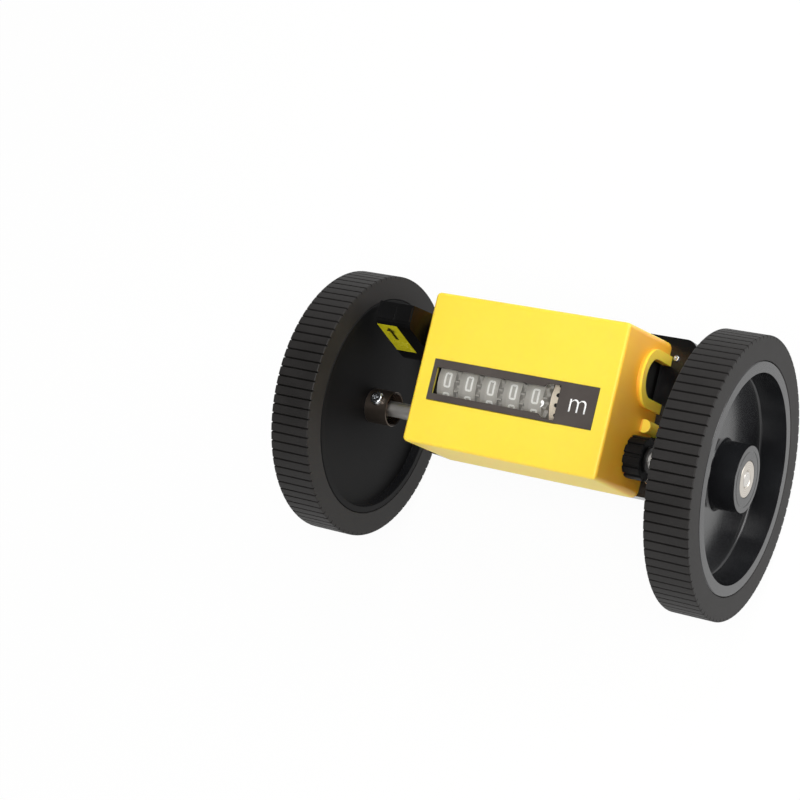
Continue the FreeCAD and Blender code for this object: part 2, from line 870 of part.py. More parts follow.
def stadium(sketch, low, high, back, front):
    """A slot outline across X, straight at the back and half round at the front."""
    middle = (low + high) / 2
    radius = (high - low) / 2
    shoulder = front - radius
    first = sketch.GeometryCount
    corners = [(high, shoulder), (high, back), (low, back), (low, shoulder)]
    points = [Vector(sized(x).number, sized(y).number, 0) for x, y in corners]
    for start, end in zip(points, points[1:]):
        sketch.addGeometry(Part.LineSegment(start, end))
    top = Vector(middle.number, front.number, 0)
    sketch.addGeometry(Part.Arc(points[3], top, points[0]))
    for index in range(3):
        pin(sketch, first + index, 1, *corners[index])
    pin(sketch, first + 2, 2, *corners[3])
    for index in range(2):
        sketch.addConstraint(
            Sketcher.Constraint("Coincident", first + index, 2, first + index + 1, 1))
    arc = first + 3
    ends = sorted((1, 2), key=lambda end: sketch.getPoint(arc, end).x)
    sketch.addConstraint(Sketcher.Constraint("Coincident", arc, ends[0], first + 2, 2))
    sketch.addConstraint(Sketcher.Constraint("Coincident", arc, ends[1], first, 1))
    centre_out = Sketcher.Constraint("DistanceY", -1, 1, arc, 3, shoulder.number)
    index = sketch.addConstraint(centre_out)
    bind(sketch, "Constraints[%d]" % index, shoulder)
    return sketch


def add_side_ridge(cover, sign):
    """A raised rim round the side cut-out, standing out of the sloping wall."""
    width = read("ridge_width")
    face = cover_back_half_width + read("ridge_height")
    start = cover_half_width - read("cover_wall") / 2
    lift = start if sign > 0 else -face
    half = read("cutout_half_height") + width
    ridge = stadium(new_sketch(cover, "YZ_Plane", lift), lever_up - half, lever_up + half,
                    cover_back, cutout_front() + width)
    pad(cover, ridge, face - start)


def add_screw_boss(cover, sign):
    """A round boss for a cover screw, half sunk in the side wall and open at the back."""
    sketch = circle(new_sketch(cover, "XY_Plane", cover_back), sign * boss_across(),
                    read("boss_up"), read("boss_radius"))
    pad(cover, sketch, read("boss_length"))


def cut_side_openings(cover):
    """The rounded cut-outs, the holes for the axle's bushes and the screw holes of the bosses."""
    reach = cover_back_half_width + read("ridge_height") + past
    half = read("cutout_half_height")
    sketch = new_sketch(cover, "YZ_Plane", -reach)
    stadium(sketch, lever_up - half, lever_up + half, cover_back - past, cutout_front())
    circle(sketch, axle_up, axle_out, bush_radius + loose)
    pocket(cover, sketch, 2 * reach)
    holes = new_sketch(cover, "XY_Plane", cover_back)
    circle(holes, -boss_across(), read("boss_up"), read("boss_screw_radius"))
    circle(holes, boss_across(), read("boss_up"), read("boss_screw_radius"))
    pocket(cover, holes, read("boss_screw_grip") + read("boss_hole_tip"))


def cutout_front():
    return lever_out + read("cutout_past_lever_axis")


def boss_across():
    return cover_back_half_width + read("boss_offset")


def bezel_seat():
    return cover_front + read("bezel_proud") - read("bezel_thickness")


def bezel_outline(grow):
    """Left, right, low and high edges of the bezel, grown by the given amount."""
    half = cover_half_width - read("bezel_side_margin") + grow
    return (-half, half, window_low - read("bezel_low_margin") - grow,
            window_high + read("bezel_high_margin") + grow)


def cut_window(cover):
    """A shallow seat for the bezel, a deeper one for the lens, and the opening behind it."""
    gap = read("window_seat_gap")
    seat = bezel_seat()
    sketch = rectangle(new_sketch(cover, "XY_Plane", seat), *bezel_outline(gap))
    pocket(cover, sketch, cover_front - seat + past)
    lens = lens_outline(gap)
    sketch = rectangle(new_sketch(cover, "XY_Plane", seat - read("lens_thickness")), *lens)
    pocket(cover, sketch, read("lens_thickness") + past)
    ledge = lens_outline(-read("lens_ledge"))
    sketch = rectangle(new_sketch(cover, "XY_Plane", inner_face - past), *ledge)
    pocket(cover, sketch, read("cover_face_wall"))


def lens_outline(grow):
    """Left, right, low and high edges of the lens, grown by the given amount."""
    side = read("lens_margin") + grow
    rise = read("window_step_rise") + side
    return window_left - side, window_right + side, window_low - rise, window_high + rise


def build_window():
    """The flat dark bezel with its stepped opening, and the clear lens behind it."""
    bezel = new_body("window_bezel")
    sketch = rectangle(new_sketch(bezel, "XY_Plane", bezel_seat()), *bezel_outline(0))
    rise = read("window_step_rise")
    top, bottom = window_high + rise, window_low - rise
    polygon(sketch, [
        (window_left, window_high), (window_step, window_high), (window_step + rise, top),
        (window_right, top), (window_right, bottom), (window_step + rise, bottom),
        (window_step, window_low), (window_left, window_low)])
    pad(bezel, sketch, read("bezel_thickness"))
    lens = new_body("window_lens")
    sketch = rectangle(new_sketch(lens, "XY_Plane", bezel_seat() - read("lens_thickness")),
                       *lens_outline(0))
    pad(lens, sketch, read("lens_thickness"))


def build_base_frame():
    """Black base: a tray that the cover closes, with an ear on each side of it."""
    base = new_body("base_frame")
    half = cover_back_half_width + read("ear_width")
    top, bottom = base_ends()
    sketch = rectangle(new_sketch(base, "XY_Plane"), -half, half, bottom, top)
    pad(base, sketch, cover_back)
    doc.recompute()
    widest = read("ear_width") - read("loose_clearance")
    round_edges(base, smaller(read("base_corner"), widest), runs_along_depth)
    across = plate_outer + read("tray_side_gap")
    tall = plate_half_height + read("plate_clearance")
    tray = rectangle(new_sketch(base, "XY_Plane", read("base_floor")), -across, across,
                     -tall, tall)
    pocket(base, tray, cover_back)
    cut_base_holes(base)
    return base


def base_ends():
    """The base's top edge stands past the cover's, and its bottom edge hides behind it."""
    return (cover_back_half_height + read("base_top_ledge"),
            read("base_bottom_inset") - cover_back_half_height)


def cut_base_holes(base):
    """Four holes in the floor for a bracket, and two for the screws into the cover."""
    sketch = new_sketch(base, "XY_Plane")
    boss = boss_across()
    bracket = read("back_holes_across") / 2
    rise = read("back_holes_tall") / 2
    for sign in (-1, 1):
        circle(sketch, sign * boss, read("boss_up"), read("boss_screw_radius"))
        for y in (-rise, rise):
            circle(sketch, sign * bracket, y, read("back_hole_radius"))
    pocket(base, sketch, cover_back)


def build_side_plate(side, sign):
    """A steel plate that carries the shafts, standing on a foot on the base's floor."""
    idler_up, idler_out = idler_place()
    plate = new_body("side_plate_" + side)
    lift = plate_inner if sign > 0 else -plate_outer
    floor = read("base_floor")
    front = inner_face - read("plate_front_gap")
    half = plate_half_height
    sketch = polygon(new_sketch(plate, "YZ_Plane", lift), [
        (-half, floor), (half, floor), (half, front - read("plate_top_slope")),
        (half - read("plate_top_setback"), front), (read("plate_low_setback") - half, front),
        (-half, front - read("plate_low_slope"))])
    circle(sketch, axle_up, axle_out, bush_radius)
    circle(sketch, number_up, number_out, read("number_shaft_radius"))
    circle(sketch, pinion_up, number_out, read("pinion_shaft_radius"))
    circle(sketch, lever_up, lever_out, reset_radius + running)
    if sign > 0:
        circle(sketch, idler_up, idler_out, read("number_shaft_radius"))
    pad(plate, sketch, plate_outer - plate_inner)
    near, far = sorted((sign * (plate_inner - read("plate_foot")), sign * plate_outer),
                       key=lambda size: size.number)
    sketch = rectangle(new_sketch(plate, "XY_Plane", floor), near, far, -half, half)
    pad(plate, sketch, read("plate_thickness"))


def build_bushes():
    for side, sign in SIDES:
        turned("bearing_bush_" + side, 0, axle_up, axle_out, side_profile(sign, tube_profile(
            plate_inner, bush_end, axle_radius + running, bush_radius)))
        build_bush_nut(side, sign)


def build_bush_nut(side, sign):
    """A round nut with twelve flutes, on the bush, against the cover's side wall."""
    radius = bush_radius + read("nut_wall")
    slope = read("cover_flare") / (cover_front - cover_back)
    start = cover_half_width + slope * (cover_front - axle_out + radius)
    nut = turned("bush_nut_" + side, 0, axle_up, axle_out, side_profile(
        sign, tube_profile(start, bush_end, bush_radius, radius)))
    lift = start if sign > 0 else -bush_end
    half = read("nut_flute_width") / 2
    bottom = radius - read("nut_flute_depth")
    flute = polygon(new_sketch(nut, "YZ_Plane", lift), [
        (-half / 2, bottom), (half / 2, bottom), (half, radius + past), (-half, radius + past)])
    repeat_round(nut, pocket(nut, flute, bush_end - start), read("nut_flutes"))


def build_fasteners():
    top, bottom = base_ends()
    across = cover_back_half_width + read("ear_screw_from_cover")
    group("ear_screws", [
        cylinder(read("ear_screw_radius"), read("ear_screw_height"), sign * across, up, cover_back)
        for sign in (-1, 1)
        for up in (bottom + read("ear_screw_from_bottom"), top - read("ear_screw_from_top"))])
    group("cover_screws", [
        cylinder(read("boss_screw_radius"), cover_back + read("boss_screw_grip"),
                 sign * boss_across(), read("boss_up"), 0) for sign in (-1, 1)])
    places = [(plate_half_height - read("top_rod_from_end"),
               cover_front - read("top_rod_from_face")),
              (read("low_rod_from_end") - plate_half_height,
               read("base_floor") + read("low_rod_from_floor"))]
    group("tie_rods", [
        cylinder(read("tie_rod_radius"), 2 * plate_inner, -plate_inner, up, out, axis="x")
        for up, out in places])


# Reset lever

def build_reset_lever():
    """Wedge-shaped thumb lever with a round boss on its pivot and a split pad in front."""
    lever = new_body("reset_lever", 0, lever_up, lever_out)
    radius = read("lever_round_radius")
    slope = read("lever_slope")
    reach = lever_front - lever_out
    edge = reach - read("lever_edge_out")
    low_up = -radius * cosine(slope)
    low_out = radius * sine(slope)
    front_low = low_up + (edge - low_out) * sine(slope) / cosine(slope)
    sketch = circle(new_sketch(lever, "YZ_Plane", -lever_outer), 0, 0, radius)
    pad(lever, sketch, read("lever_width"))
    sketch = polygon(new_sketch(lever, "YZ_Plane", -lever_outer), [
        (low_up, low_out), (front_low, edge), (front_low + read("lever_edge_up"), reach),
        (read("lever_top"), reach), (radius, read("lever_shoulder")), (0, 0)])
    pad(lever, sketch, read("lever_width"))
    hub = circle(new_sketch(lever, "YZ_Plane", -lever_inner), 0, 0, read("lever_hub_radius"))
    pad(lever, hub, lever_inner - plate_outer - loose)
    add_thumb_pads(lever, reach)
    bore = circle(new_sketch(lever, "YZ_Plane", read("lever_cap") - lever_outer), 0, 0,
                  reset_radius)
    pocket(lever, bore, lever_outer)


def add_thumb_pads(lever, front):
    """Two raised squares side by side, with a groove between them."""
    near = lever_inner + read("pad_inner_margin")
    split = near + read("pad_inner_width")
    for left, right in ((read("pad_outer_margin") - lever_outer, -split - read("pad_groove")),
                        (-split, -near)):
        face = rectangle(new_sketch(lever, "XY_Plane", front), left, right, read("pad_low"),
                         read("pad_high"))
        pad(lever, face, read("pad_height"))


def build_lever_label():
    """A thin sticker on the lever's sloping underside."""
    slope = read("lever_slope")
    thickness = read("label_thickness")
    start = read("label_from_axis")
    low = -(read("lever_round_radius") + thickness)
    label = doc.addObject("Part::Box", "lever_label")
    label.Label = "lever_label"
    bind(label, "Length", read("label_width"))
    bind(label, "Width", thickness)
    bind(label, "Height", read("label_length"))
    label.Placement = Placement(Vector(0, 0, 0), Rotation(Vector(1, 0, 0), -slope.number))
    place(label, read("label_margin") - lever_outer,
          lever_up + low * cosine(slope) + start * sine(slope),
          lever_out - low * sine(slope) + start * cosine(slope))
    subparts.append(label)


def build_reset_shaft():
    rod("reset_shaft", read("lever_cap") - lever_outer, plate_outer, reset_radius,
        lever_up, lever_out)


def build_reset_hammers():
    """A tube on the reset shaft with one finger aimed at each number wheel."""
    hammers = new_body("reset_hammers", 0, lever_up, lever_out)
    tube_radius = read("hammer_tube_radius")
    revolve(hammers, polygon(new_sketch(hammers, "XY_Plane"), tube_profile(
        read("hammer_tube_end_gap") - plate_inner, tenths_right + read("hammer_tube_past_drums"),
        reset_radius, tube_radius)))
    rise_up, rise_out = number_up - lever_up, number_out - lever_out
    span = root(rise_up * rise_up + rise_out * rise_out)
    reach = span - band_radius - read("hammer_gap")
    foot = (reset_radius + tube_radius) / 2
    half = read("hammer_thickness") / 2
    corners = [((along * rise_up - side * rise_out) / span,
                (along * rise_out + side * rise_up) / span)
               for along, side in ((foot, -half), (reach, -half), (reach, half), (foot, half))]
    width = read("hammer_width")
    for centre in number_wheel_centres() + [(tenths_left + tenths_right) / 2]:
        sketch = new_sketch(hammers, "YZ_Plane", centre - width / 2)
        pad(hammers, polygon(sketch, corners), width)


# Assembly

build_axle()
build_collar_screws()
build_washers()
tenths_turn = build_gear_train()
build_number_wheels(tenths_turn)
build_number_shaft()
build_carry_pinions()
build_cover_shell()
build_window()
build_base_frame()
for side, sign in SIDES:
    build_side_plate(side, sign)
build_bushes()
build_fasteners()
build_reset_lever()
build_lever_label()
build_reset_shaft()
build_reset_hammers()

doc.recompute()
faults = [thing.Name for thing in doc.Objects if {"Invalid", "Error"} & set(thing.State)]
faults += [part.Label for part in subparts if part.Shape.isNull() or not part.Shape.isValid()]
if faults:
    raise RuntimeError("These objects are not sound: " + ", ".join(faults))
os.makedirs("parts", exist_ok=True)
for part in subparts:
    part.Shape.exportStep("parts/%s.step" % part.Label)
print("%d sub-parts written" % len(subparts))
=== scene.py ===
"""Looks of a yellow cable length counter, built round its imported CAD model.

Every place is in the CAD's frame, in metres: X along the axle, Y up the window face, Z out of it.
"""

import math

import bmesh
import bpy
from mathutils import Matrix, Vector


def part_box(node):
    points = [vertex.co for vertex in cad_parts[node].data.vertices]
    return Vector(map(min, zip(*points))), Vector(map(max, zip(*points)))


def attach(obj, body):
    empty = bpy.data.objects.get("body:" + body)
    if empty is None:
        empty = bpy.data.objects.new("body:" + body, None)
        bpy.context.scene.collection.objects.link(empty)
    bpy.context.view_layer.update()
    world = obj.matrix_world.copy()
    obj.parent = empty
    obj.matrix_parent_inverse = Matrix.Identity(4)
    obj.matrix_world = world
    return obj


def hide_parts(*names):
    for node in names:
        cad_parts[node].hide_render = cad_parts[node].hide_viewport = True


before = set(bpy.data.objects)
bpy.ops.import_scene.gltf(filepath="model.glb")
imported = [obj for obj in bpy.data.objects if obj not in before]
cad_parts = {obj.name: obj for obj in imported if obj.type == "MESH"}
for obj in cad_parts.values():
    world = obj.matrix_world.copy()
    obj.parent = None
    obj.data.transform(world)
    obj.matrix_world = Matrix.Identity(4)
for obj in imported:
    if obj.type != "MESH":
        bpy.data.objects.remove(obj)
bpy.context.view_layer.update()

bl_info = {
    "name": "Cable length counter",
    "version": (1, 0, 0),
    "blender": (4, 5, 0),
    "location": "View3D > Sidebar > Counter",
    "description": "Builds the visible pieces and the stage of a cable length counter",
    "category": "Add Mesh",
}

MM = 0.001
SIDES = ("left", "right")
DECADES = ("units", "tens", "hundreds", "thousands", "ten_thousands")


def middle(node):
    low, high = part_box(node)
    return (low + high) / 2


AXLE = middle("main_shaft")
NUMBER_AXIS = middle("number_shaft")
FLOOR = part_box("tyre_right")[0].z

# Sizes in the solids that no node's box gives by itself.
TYRE_SEAT = 43.8 * MM
DRUM_RIM, DRUM_GEAR = 1.4 * MM, 1.6 * MM
COLLAR_SCREW_TILT = math.radians(19)
COLLAR_SCREW_RADIUS = 2.75 * MM
EAR_SCREW_RADIUS = 1.2 * MM

# Play drawn round the axle, so that the pieces on it stay apart from it.
BORE_PLAY, WASHER_PLAY = 0.04 * MM, 0.05 * MM

# A ring scribed in the hub's face: how far in from the hub's edge, and how deep.
SCRIBED_RING = ((2.3 * MM, 0), (2.2 * MM, 0.15 * MM), (2.0 * MM, 0.15 * MM), (1.9 * MM, 0))

# A mix node has sockets of the same name for each kind of data, so they go by number.
MIX_FACTOR = 0
COLOUR_A, COLOUR_B, COLOUR_RESULT = 6, 7, 2
FLOAT_A, FLOAT_B, FLOAT_RESULT = 2, 3, 0


# Colours and material nodes

def linear(colour):
    """An sRGB hex colour, such as FFE957, as linear red, green, blue and alpha."""
    parts = [int(colour[index:index + 2], 16) / 255 for index in (0, 2, 4)]
    curved = [part / 12.92 if part <= 0.04045 else ((part + 0.055) / 1.055) ** 2.4
              for part in parts]
    return (*curved, 1.0)


def add_node(material, kind, settings=None, links=None):
    """Adds a node; settings go to its sockets or its own fields, links to its sockets.

    A socket is given by its name, or by its number where names repeat.
    """
    node = material.node_tree.nodes.new(kind)
    for name, value in (settings or {}).items():
        if isinstance(name, int) or name in node.inputs:
            node.inputs[name].default_value = value
        else:
            setattr(node, name, value)
    for name, socket in (links or {}).items():
        material.node_tree.links.new(socket, node.inputs[name])
    return node


def new_material(name):
    material = bpy.data.materials.new(name)
    material.use_nodes = True
    material.node_tree.nodes.clear()
    return material


def close_material(material, shader):
    add_node(material, "ShaderNodeOutputMaterial", links={"Surface": shader.outputs[0]})
    return material


def surface(name, colours, roughness, grain, grain_height, patch=20 * MM, **shader):
    """Moulded, plated or printed surface: colour and roughness drift over patches, with a grain.

    colours are the darker and lighter hex ends, roughness its lowest and highest value, and
    grain and patch are the real sizes of the surface's speck and of its slow drift.
    """
    material = new_material(name)
    place = add_node(material, "ShaderNodeTexCoord").outputs["Object"]
    drift = add_node(material, "ShaderNodeTexNoise",
                     {"Scale": 1 / patch, "Detail": 3.0, "Roughness": 0.6}, {"Vector": place})
    tint = add_node(material, "ShaderNodeValToRGB", links={"Fac": drift.outputs["Fac"]})
    for end, position, colour in zip(tint.color_ramp.elements, (0.35, 0.65), colours):
        end.position = position
        end.color = linear(colour)
    sheen = add_node(material, "ShaderNodeMapRange",
                     {"To Min": roughness[0], "To Max": roughness[1]},
                     {"Value": drift.outputs["Fac"]})
    specks = add_node(material, "ShaderNodeTexNoise",
                      {"Scale": 1 / grain, "Detail": 2.0}, {"Vector": place})
    bump = add_node(material, "ShaderNodeBump", {"Strength": 1.0, "Distance": grain_height},
                    {"Height": specks.outputs["Fac"]})
    links = {"Base Color": tint.outputs["Color"], "Roughness": sheen.outputs["Result"],
             "Normal": bump.outputs["Normal"]}
    body = add_node(material, "ShaderNodeBsdfPrincipled", shader, links)
    return close_material(material, body)


def warm_walls(material, colour, wall, rim):
    """Paints shade on the moulding's thin side walls: they turn more orange, standing in for
    their shaded side and the light soaking through them.

    Along X, the sloping walls begin at wall, and past rim there are only their raised rims.
    """
    lead, fade = 0.8 * MM, 0.4 * MM
    body = next(node for node in material.node_tree.nodes if node.type == "BSDF_PRINCIPLED")
    plain = body.inputs["Base Color"].links[0].from_socket
    place = add_node(material, "ShaderNodeTexCoord").outputs["Object"]
    along = add_node(material, "ShaderNodeSeparateXYZ", links={"Vector": place}).outputs["X"]
    away = add_node(material, "ShaderNodeMath", {"operation": "ABSOLUTE"}, {0: along})
    begun = add_node(material, "ShaderNodeMapRange", {
        "From Min": wall - lead, "From Max": wall + fade}, {"Value": away.outputs[0]})
    ended = add_node(material, "ShaderNodeMapRange", {
        "From Min": rim, "From Max": rim + fade, "To Min": 1.0, "To Max": 0.0},
        {"Value": away.outputs[0]})
    share = add_node(material, "ShaderNodeMath", {"operation": "MULTIPLY"},
                     {0: begun.outputs[0], 1: ended.outputs[0]})
    mixed = add_node(material, "ShaderNodeMix",
                     {"data_type": "RGBA", COLOUR_B: linear(colour)},
                     {MIX_FACTOR: share.outputs[0], COLOUR_A: plain})
    material.node_tree.links.new(mixed.outputs[COLOUR_RESULT], body.inputs["Base Color"])
    return material


def turned_metal(name, colours, roughness, line):
    """Metal turned on a lathe: fine rings about the axle, drawn wide enough to show."""
    material = new_material(name)
    place = add_node(material, "ShaderNodeTexCoord").outputs["Object"]
    centred = add_node(material, "ShaderNodeMapping",
                       {"Location": (0, -AXLE.y, -AXLE.z)}, {"Vector": place})
    waves_in_scale = 20
    rings = add_node(material, "ShaderNodeTexWave", {
        "wave_type": "RINGS", "rings_direction": "X", "Scale": 1 / (line * waves_in_scale),
        "Distortion": 0.6, "Detail": 2.0}, {"Vector": centred.outputs["Vector"]})
    tint = add_node(material, "ShaderNodeValToRGB", links={"Fac": rings.outputs["Fac"]})
    for end, colour in zip(tint.color_ramp.elements, colours):
        end.color = linear(colour)
    sheen = add_node(material, "ShaderNodeMapRange",
                     {"To Min": roughness[0], "To Max": roughness[1]},
                     {"Value": rings.outputs["Fac"]})
    bump = add_node(material, "ShaderNodeBump", {"Strength": 0.6, "Distance": 0.01 * MM},
                    {"Height": rings.outputs["Fac"]})
    body = add_node(material, "ShaderNodeBsdfPrincipled", {"Metallic": 1.0}, {
        "Base Color": tint.outputs["Color"], "Roughness": sheen.outputs["Result"],
        "Normal": bump.outputs["Normal"]})
    return close_material(material, body)


def drum_plastic(name, ground, column, pitch, first):
    """Grey moulded drums: a paler column runs under each row of numbers.

    pitch is the drums' distance, and first is the middle of any one column along X.
    """
    column_edge = 2.1 * MM, 2.5 * MM
    left_of_all = first - 20 * pitch - pitch / 2
    material = new_material(name)
    place = add_node(material, "ShaderNodeTexCoord").outputs["Object"]
    along = add_node(material, "ShaderNodeSeparateXYZ", links={"Vector": place}).outputs["X"]
    shifted = add_node(material, "ShaderNodeMath",
                       {"operation": "SUBTRACT", 1: left_of_all}, {0: along})
    repeated = add_node(material, "ShaderNodeMath",
                        {"operation": "MODULO", 1: pitch}, {0: shifted.outputs[0]})
    offset = add_node(material, "ShaderNodeMath",
                      {"operation": "SUBTRACT", 1: pitch / 2}, {0: repeated.outputs[0]})
    away = add_node(material, "ShaderNodeMath",
                    {"operation": "ABSOLUTE"}, {0: offset.outputs[0]})
    inside = add_node(material, "ShaderNodeMapRange", {
        "From Min": column_edge[0], "From Max": column_edge[1], "To Min": 1.0, "To Max": 0.0},
        {"Value": away.outputs[0]})
    mottle = add_node(material, "ShaderNodeTexNoise", {"Scale": 1 / (1.5 * MM), "Detail": 3.0},
                      {"Vector": place})
    mixed = add_node(material, "ShaderNodeMix", {
        "data_type": "RGBA", COLOUR_A: linear(ground), COLOUR_B: linear(column)},
        {MIX_FACTOR: inside.outputs["Result"]})
    sheen = add_node(material, "ShaderNodeMapRange", {"To Min": 0.4, "To Max": 0.6},
                     {"Value": mottle.outputs["Fac"]})
    bump = add_node(material, "ShaderNodeBump", {"Strength": 1.0, "Distance": 0.01 * MM},
                    {"Height": mottle.outputs["Fac"]})
    body = add_node(material, "ShaderNodeBsdfPrincipled", {"IOR": 1.53}, {
        "Base Color": mixed.outputs[COLOUR_RESULT], "Roughness": sheen.outputs["Result"],
        "Normal": bump.outputs["Normal"]})
    return close_material(material, body)


def clear_acrylic(name):
    """A thin clear polished sheet: it passes light straight through and reflects at a slant."""
    material = new_material(name)
    place = add_node(material, "ShaderNodeTexCoord").outputs["Object"]
    wave = add_node(material, "ShaderNodeTexNoise", {"Scale": 1 / (12 * MM)}, {"Vector": place})
    sheen = add_node(material, "ShaderNodeMapRange", {"To Min": 0.02, "To Max": 0.08},
                     {"Value": wave.outputs["Fac"]})
    passed = add_node(material, "ShaderNodeBsdfTransparent", {"Color": linear("FDFDFC")})
    gloss = add_node(material, "ShaderNodeBsdfGlossy", {"Color": linear("F7F7F5")},
                     {"Roughness": sheen.outputs["Result"]})
    slant = add_node(material, "ShaderNodeFresnel", {"IOR": 1.49})
    pane = add_node(material, "ShaderNodeMixShader", links={
        "Fac": slant.outputs[0], 1: passed.outputs[0], 2: gloss.outputs[0]})
    return close_material(material, pane)


materials = {}


def make_materials(colours):
    """All the finishes, from the panel's colours."""
    materials.update({
        # Moulded ABS in yellow: a satin skin with a fine spark-eroded grain, through which a
        # little light spreads and comes out more orange;
        # its side walls are also painted more orange, as shade.
        "cover": warm_walls(surface(
            "yellow_abs", (colours.cover_dark, colours.cover), (0.42, 0.5), 0.25 * MM,
            0.005 * MM, patch=60 * MM, IOR=1.54, **{
                "Subsurface Weight": 0.4, "Subsurface Scale": 3 * MM,
                "Subsurface Radius": (1.0, 0.4, 0.06)}),
            colours.cover_wall, wall=41.2 * MM, rim=42.6 * MM),
        # Moulded black ABS: deep and satin, with grey lights along its edges.
        "black": surface("black_abs", (colours.black, "101011"), (0.16, 0.28), 0.2 * MM,
                         0.006 * MM, IOR=1.54, **{"Specular IOR Level": 0.35}),
        # Vulcanised rubber: a dull brown-black with a faint bloom.
        "rubber": surface("vulcanised_rubber", (colours.tyre, "201E1D"), (0.5, 0.66),
                          0.3 * MM, 0.02 * MM, patch=15 * MM, IOR=1.52,
                          **{"Specular IOR Level": 0.28}),
        # Glass-filled nylon wheel: near black and smooth, with soft flow marks.
        "wheel": surface("moulded_nylon", ("151517", colours.wheel), (0.14, 0.24),
                         0.35 * MM, 0.006 * MM, patch=25 * MM, IOR=1.53),
        # The wheels' inner sides and the nuts keep the mould's duller skin; its darker colour is
        # painted shade on the wheels' faces towards the housing.
        "wheel_inside": surface("matt_nylon", ("070708", "0C0C0D"), (0.5, 0.62), 0.35 * MM,
                                0.008 * MM, patch=25 * MM, IOR=1.53,
                                **{"Specular IOR Level": 0.12}),
        # Turned light alloy: warm silver with fine tool rings.
        "alloy": turned_metal("turned_alloy", ("B7B0A6", "DAD4CB"), (0.28, 0.45), 0.12 * MM),
        # The collars are of the same bar, dulled to bronze-grey by handling.
        "dull_alloy": turned_metal("dulled_alloy", ("483F38", "6E645B"), (0.25, 0.42),
                                   0.15 * MM),
        # Ground steel bar: bright, with fine rings from the grinding wheel.
        "steel": turned_metal("ground_steel", ("C4C0BB", "E2DFDA"), (0.34, 0.48), 0.15 * MM),
        # Bright zinc plate on the screws and the idler's clip: slightly cloudy silver.
        "zinc": surface("zinc_plate", ("A9ABAD", "D6D8DA"), (0.16, 0.34), 0.15 * MM,
                        0.004 * MM, patch=3 * MM, Metallic=1.0),
        # Black oxide on washers, bushes and plates: a thin dark skin over steel.
        "oxide": surface("black_oxide", ("1A1918", "262423"), (0.3, 0.45), 0.15 * MM,
                         0.003 * MM, patch=3 * MM, Metallic=0.6),
        # Screen-printed plate round the window: flat dark grey with a brown cast.
        "bezel": surface("printed_plate", (colours.bezel, "4C4642"), (0.45, 0.6), 0.1 * MM,
                         0.003 * MM, patch=12 * MM, IOR=1.5, **{"Specular IOR Level": 0.3}),
        # Clear polished acrylic over the drums: it mirrors the room only at a slant.
        "acrylic": clear_acrylic("clear_acrylic"),
        # Natural acetal gears: milky and waxy.
        "acetal": surface("natural_acetal", ("D9D6C8", "E8E5DA"), (0.3, 0.4), 0.3 * MM,
                          0.004 * MM, IOR=1.48),
        # Grey moulded ABS drums: dull, and a little paler under each row of numbers.
        "drum": drum_plastic(
            "grey_drum_abs", colours.drum, "BDBAB6",
            pitch=middle("number_wheel_units").x - middle("number_wheel_tens").x,
            first=digit_centre("units")),
        # Cream tenths drum: the same moulding in ivory.
        "cream": surface("cream_abs", ("EBDCC8", "F4E8D8"), (0.4, 0.5), 0.2 * MM, 0.004 * MM,
                         IOR=1.53),
        # Printing inks: slightly uneven cover over the moulded skin.
        "white_ink": surface("white_ink", ("F4F4F2", "FDFDFC"), (0.45, 0.6), 0.12 * MM,
                             0.004 * MM, patch=1.2 * MM, IOR=1.5),
        # The dark ink prints the sticker's arrow, and also paints shade as the tenths drum's dark
        # bars.
        "dark_ink_and_gap_shade": surface("black_ink", ("0B0907", "14110E"), (0.4, 0.55), 0.12 * MM,
                            0.004 * MM, patch=1.2 * MM, IOR=1.5,
                            **{"Specular IOR Level": 0.25}),
        # Yellow vinyl sticker: glossy film over paper-like print.
        "vinyl": surface("yellow_vinyl", ("CFC51C", "DCD326"), (0.2, 0.32), 0.4 * MM,
                         0.004 * MM, patch=5 * MM, IOR=1.5),
    })


# Modelling helpers

def deselect():
    bpy.ops.object.select_all(action="DESELECT")


def activate(piece):
    deselect()
    piece.select_set(True)
    bpy.context.view_layer.objects.active = piece


def pick(piece, test, kind="verts"):
    """In edit mode, selects only the vertices or faces that pass the test."""
    bpy.ops.mesh.select_all(action="DESELECT")
    mesh = bmesh.from_edit_mesh(piece.data)
    for element in getattr(mesh, kind):
        if test(element):
            element.select_set(True)
    mesh.select_flush_mode()
    bmesh.update_edit_mesh(piece.data)


def bake_place(piece):
    activate(piece)
    bpy.ops.object.transform_apply(location=True, rotation=True, scale=True)


def apply_modifier(piece, kind, **settings):
    activate(piece)
    modifier = piece.modifiers.new(kind.title(), kind)
    for name, value in settings.items():
        setattr(modifier, name, value)
    bpy.ops.object.modifier_apply(modifier=modifier.name)


def bevel(piece, width, segments=2, angle=35):
    apply_modifier(piece, "BEVEL", width=width, segments=segments, limit_method="ANGLE",
                   angle_limit=math.radians(angle), harden_normals=False,
                   use_clamp_overlap=True)


def shade(piece, angle=32):
    """Smooths by angle, and lets the larger faces keep their own flat light."""
    activate(piece)
    bpy.ops.object.shade_smooth_by_angle(angle=math.radians(angle))
    apply_modifier(piece, "WEIGHTED_NORMAL", keep_sharp=True, weight=80)


def dress(piece, finish, body, nodes=()):
    """Gives a finished piece its material, its body and the nodes it stands for."""
    piece.data.materials.clear()
    piece.data.materials.append(materials[finish])
    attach(piece, body)
    if nodes:
        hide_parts(*nodes)
    return piece


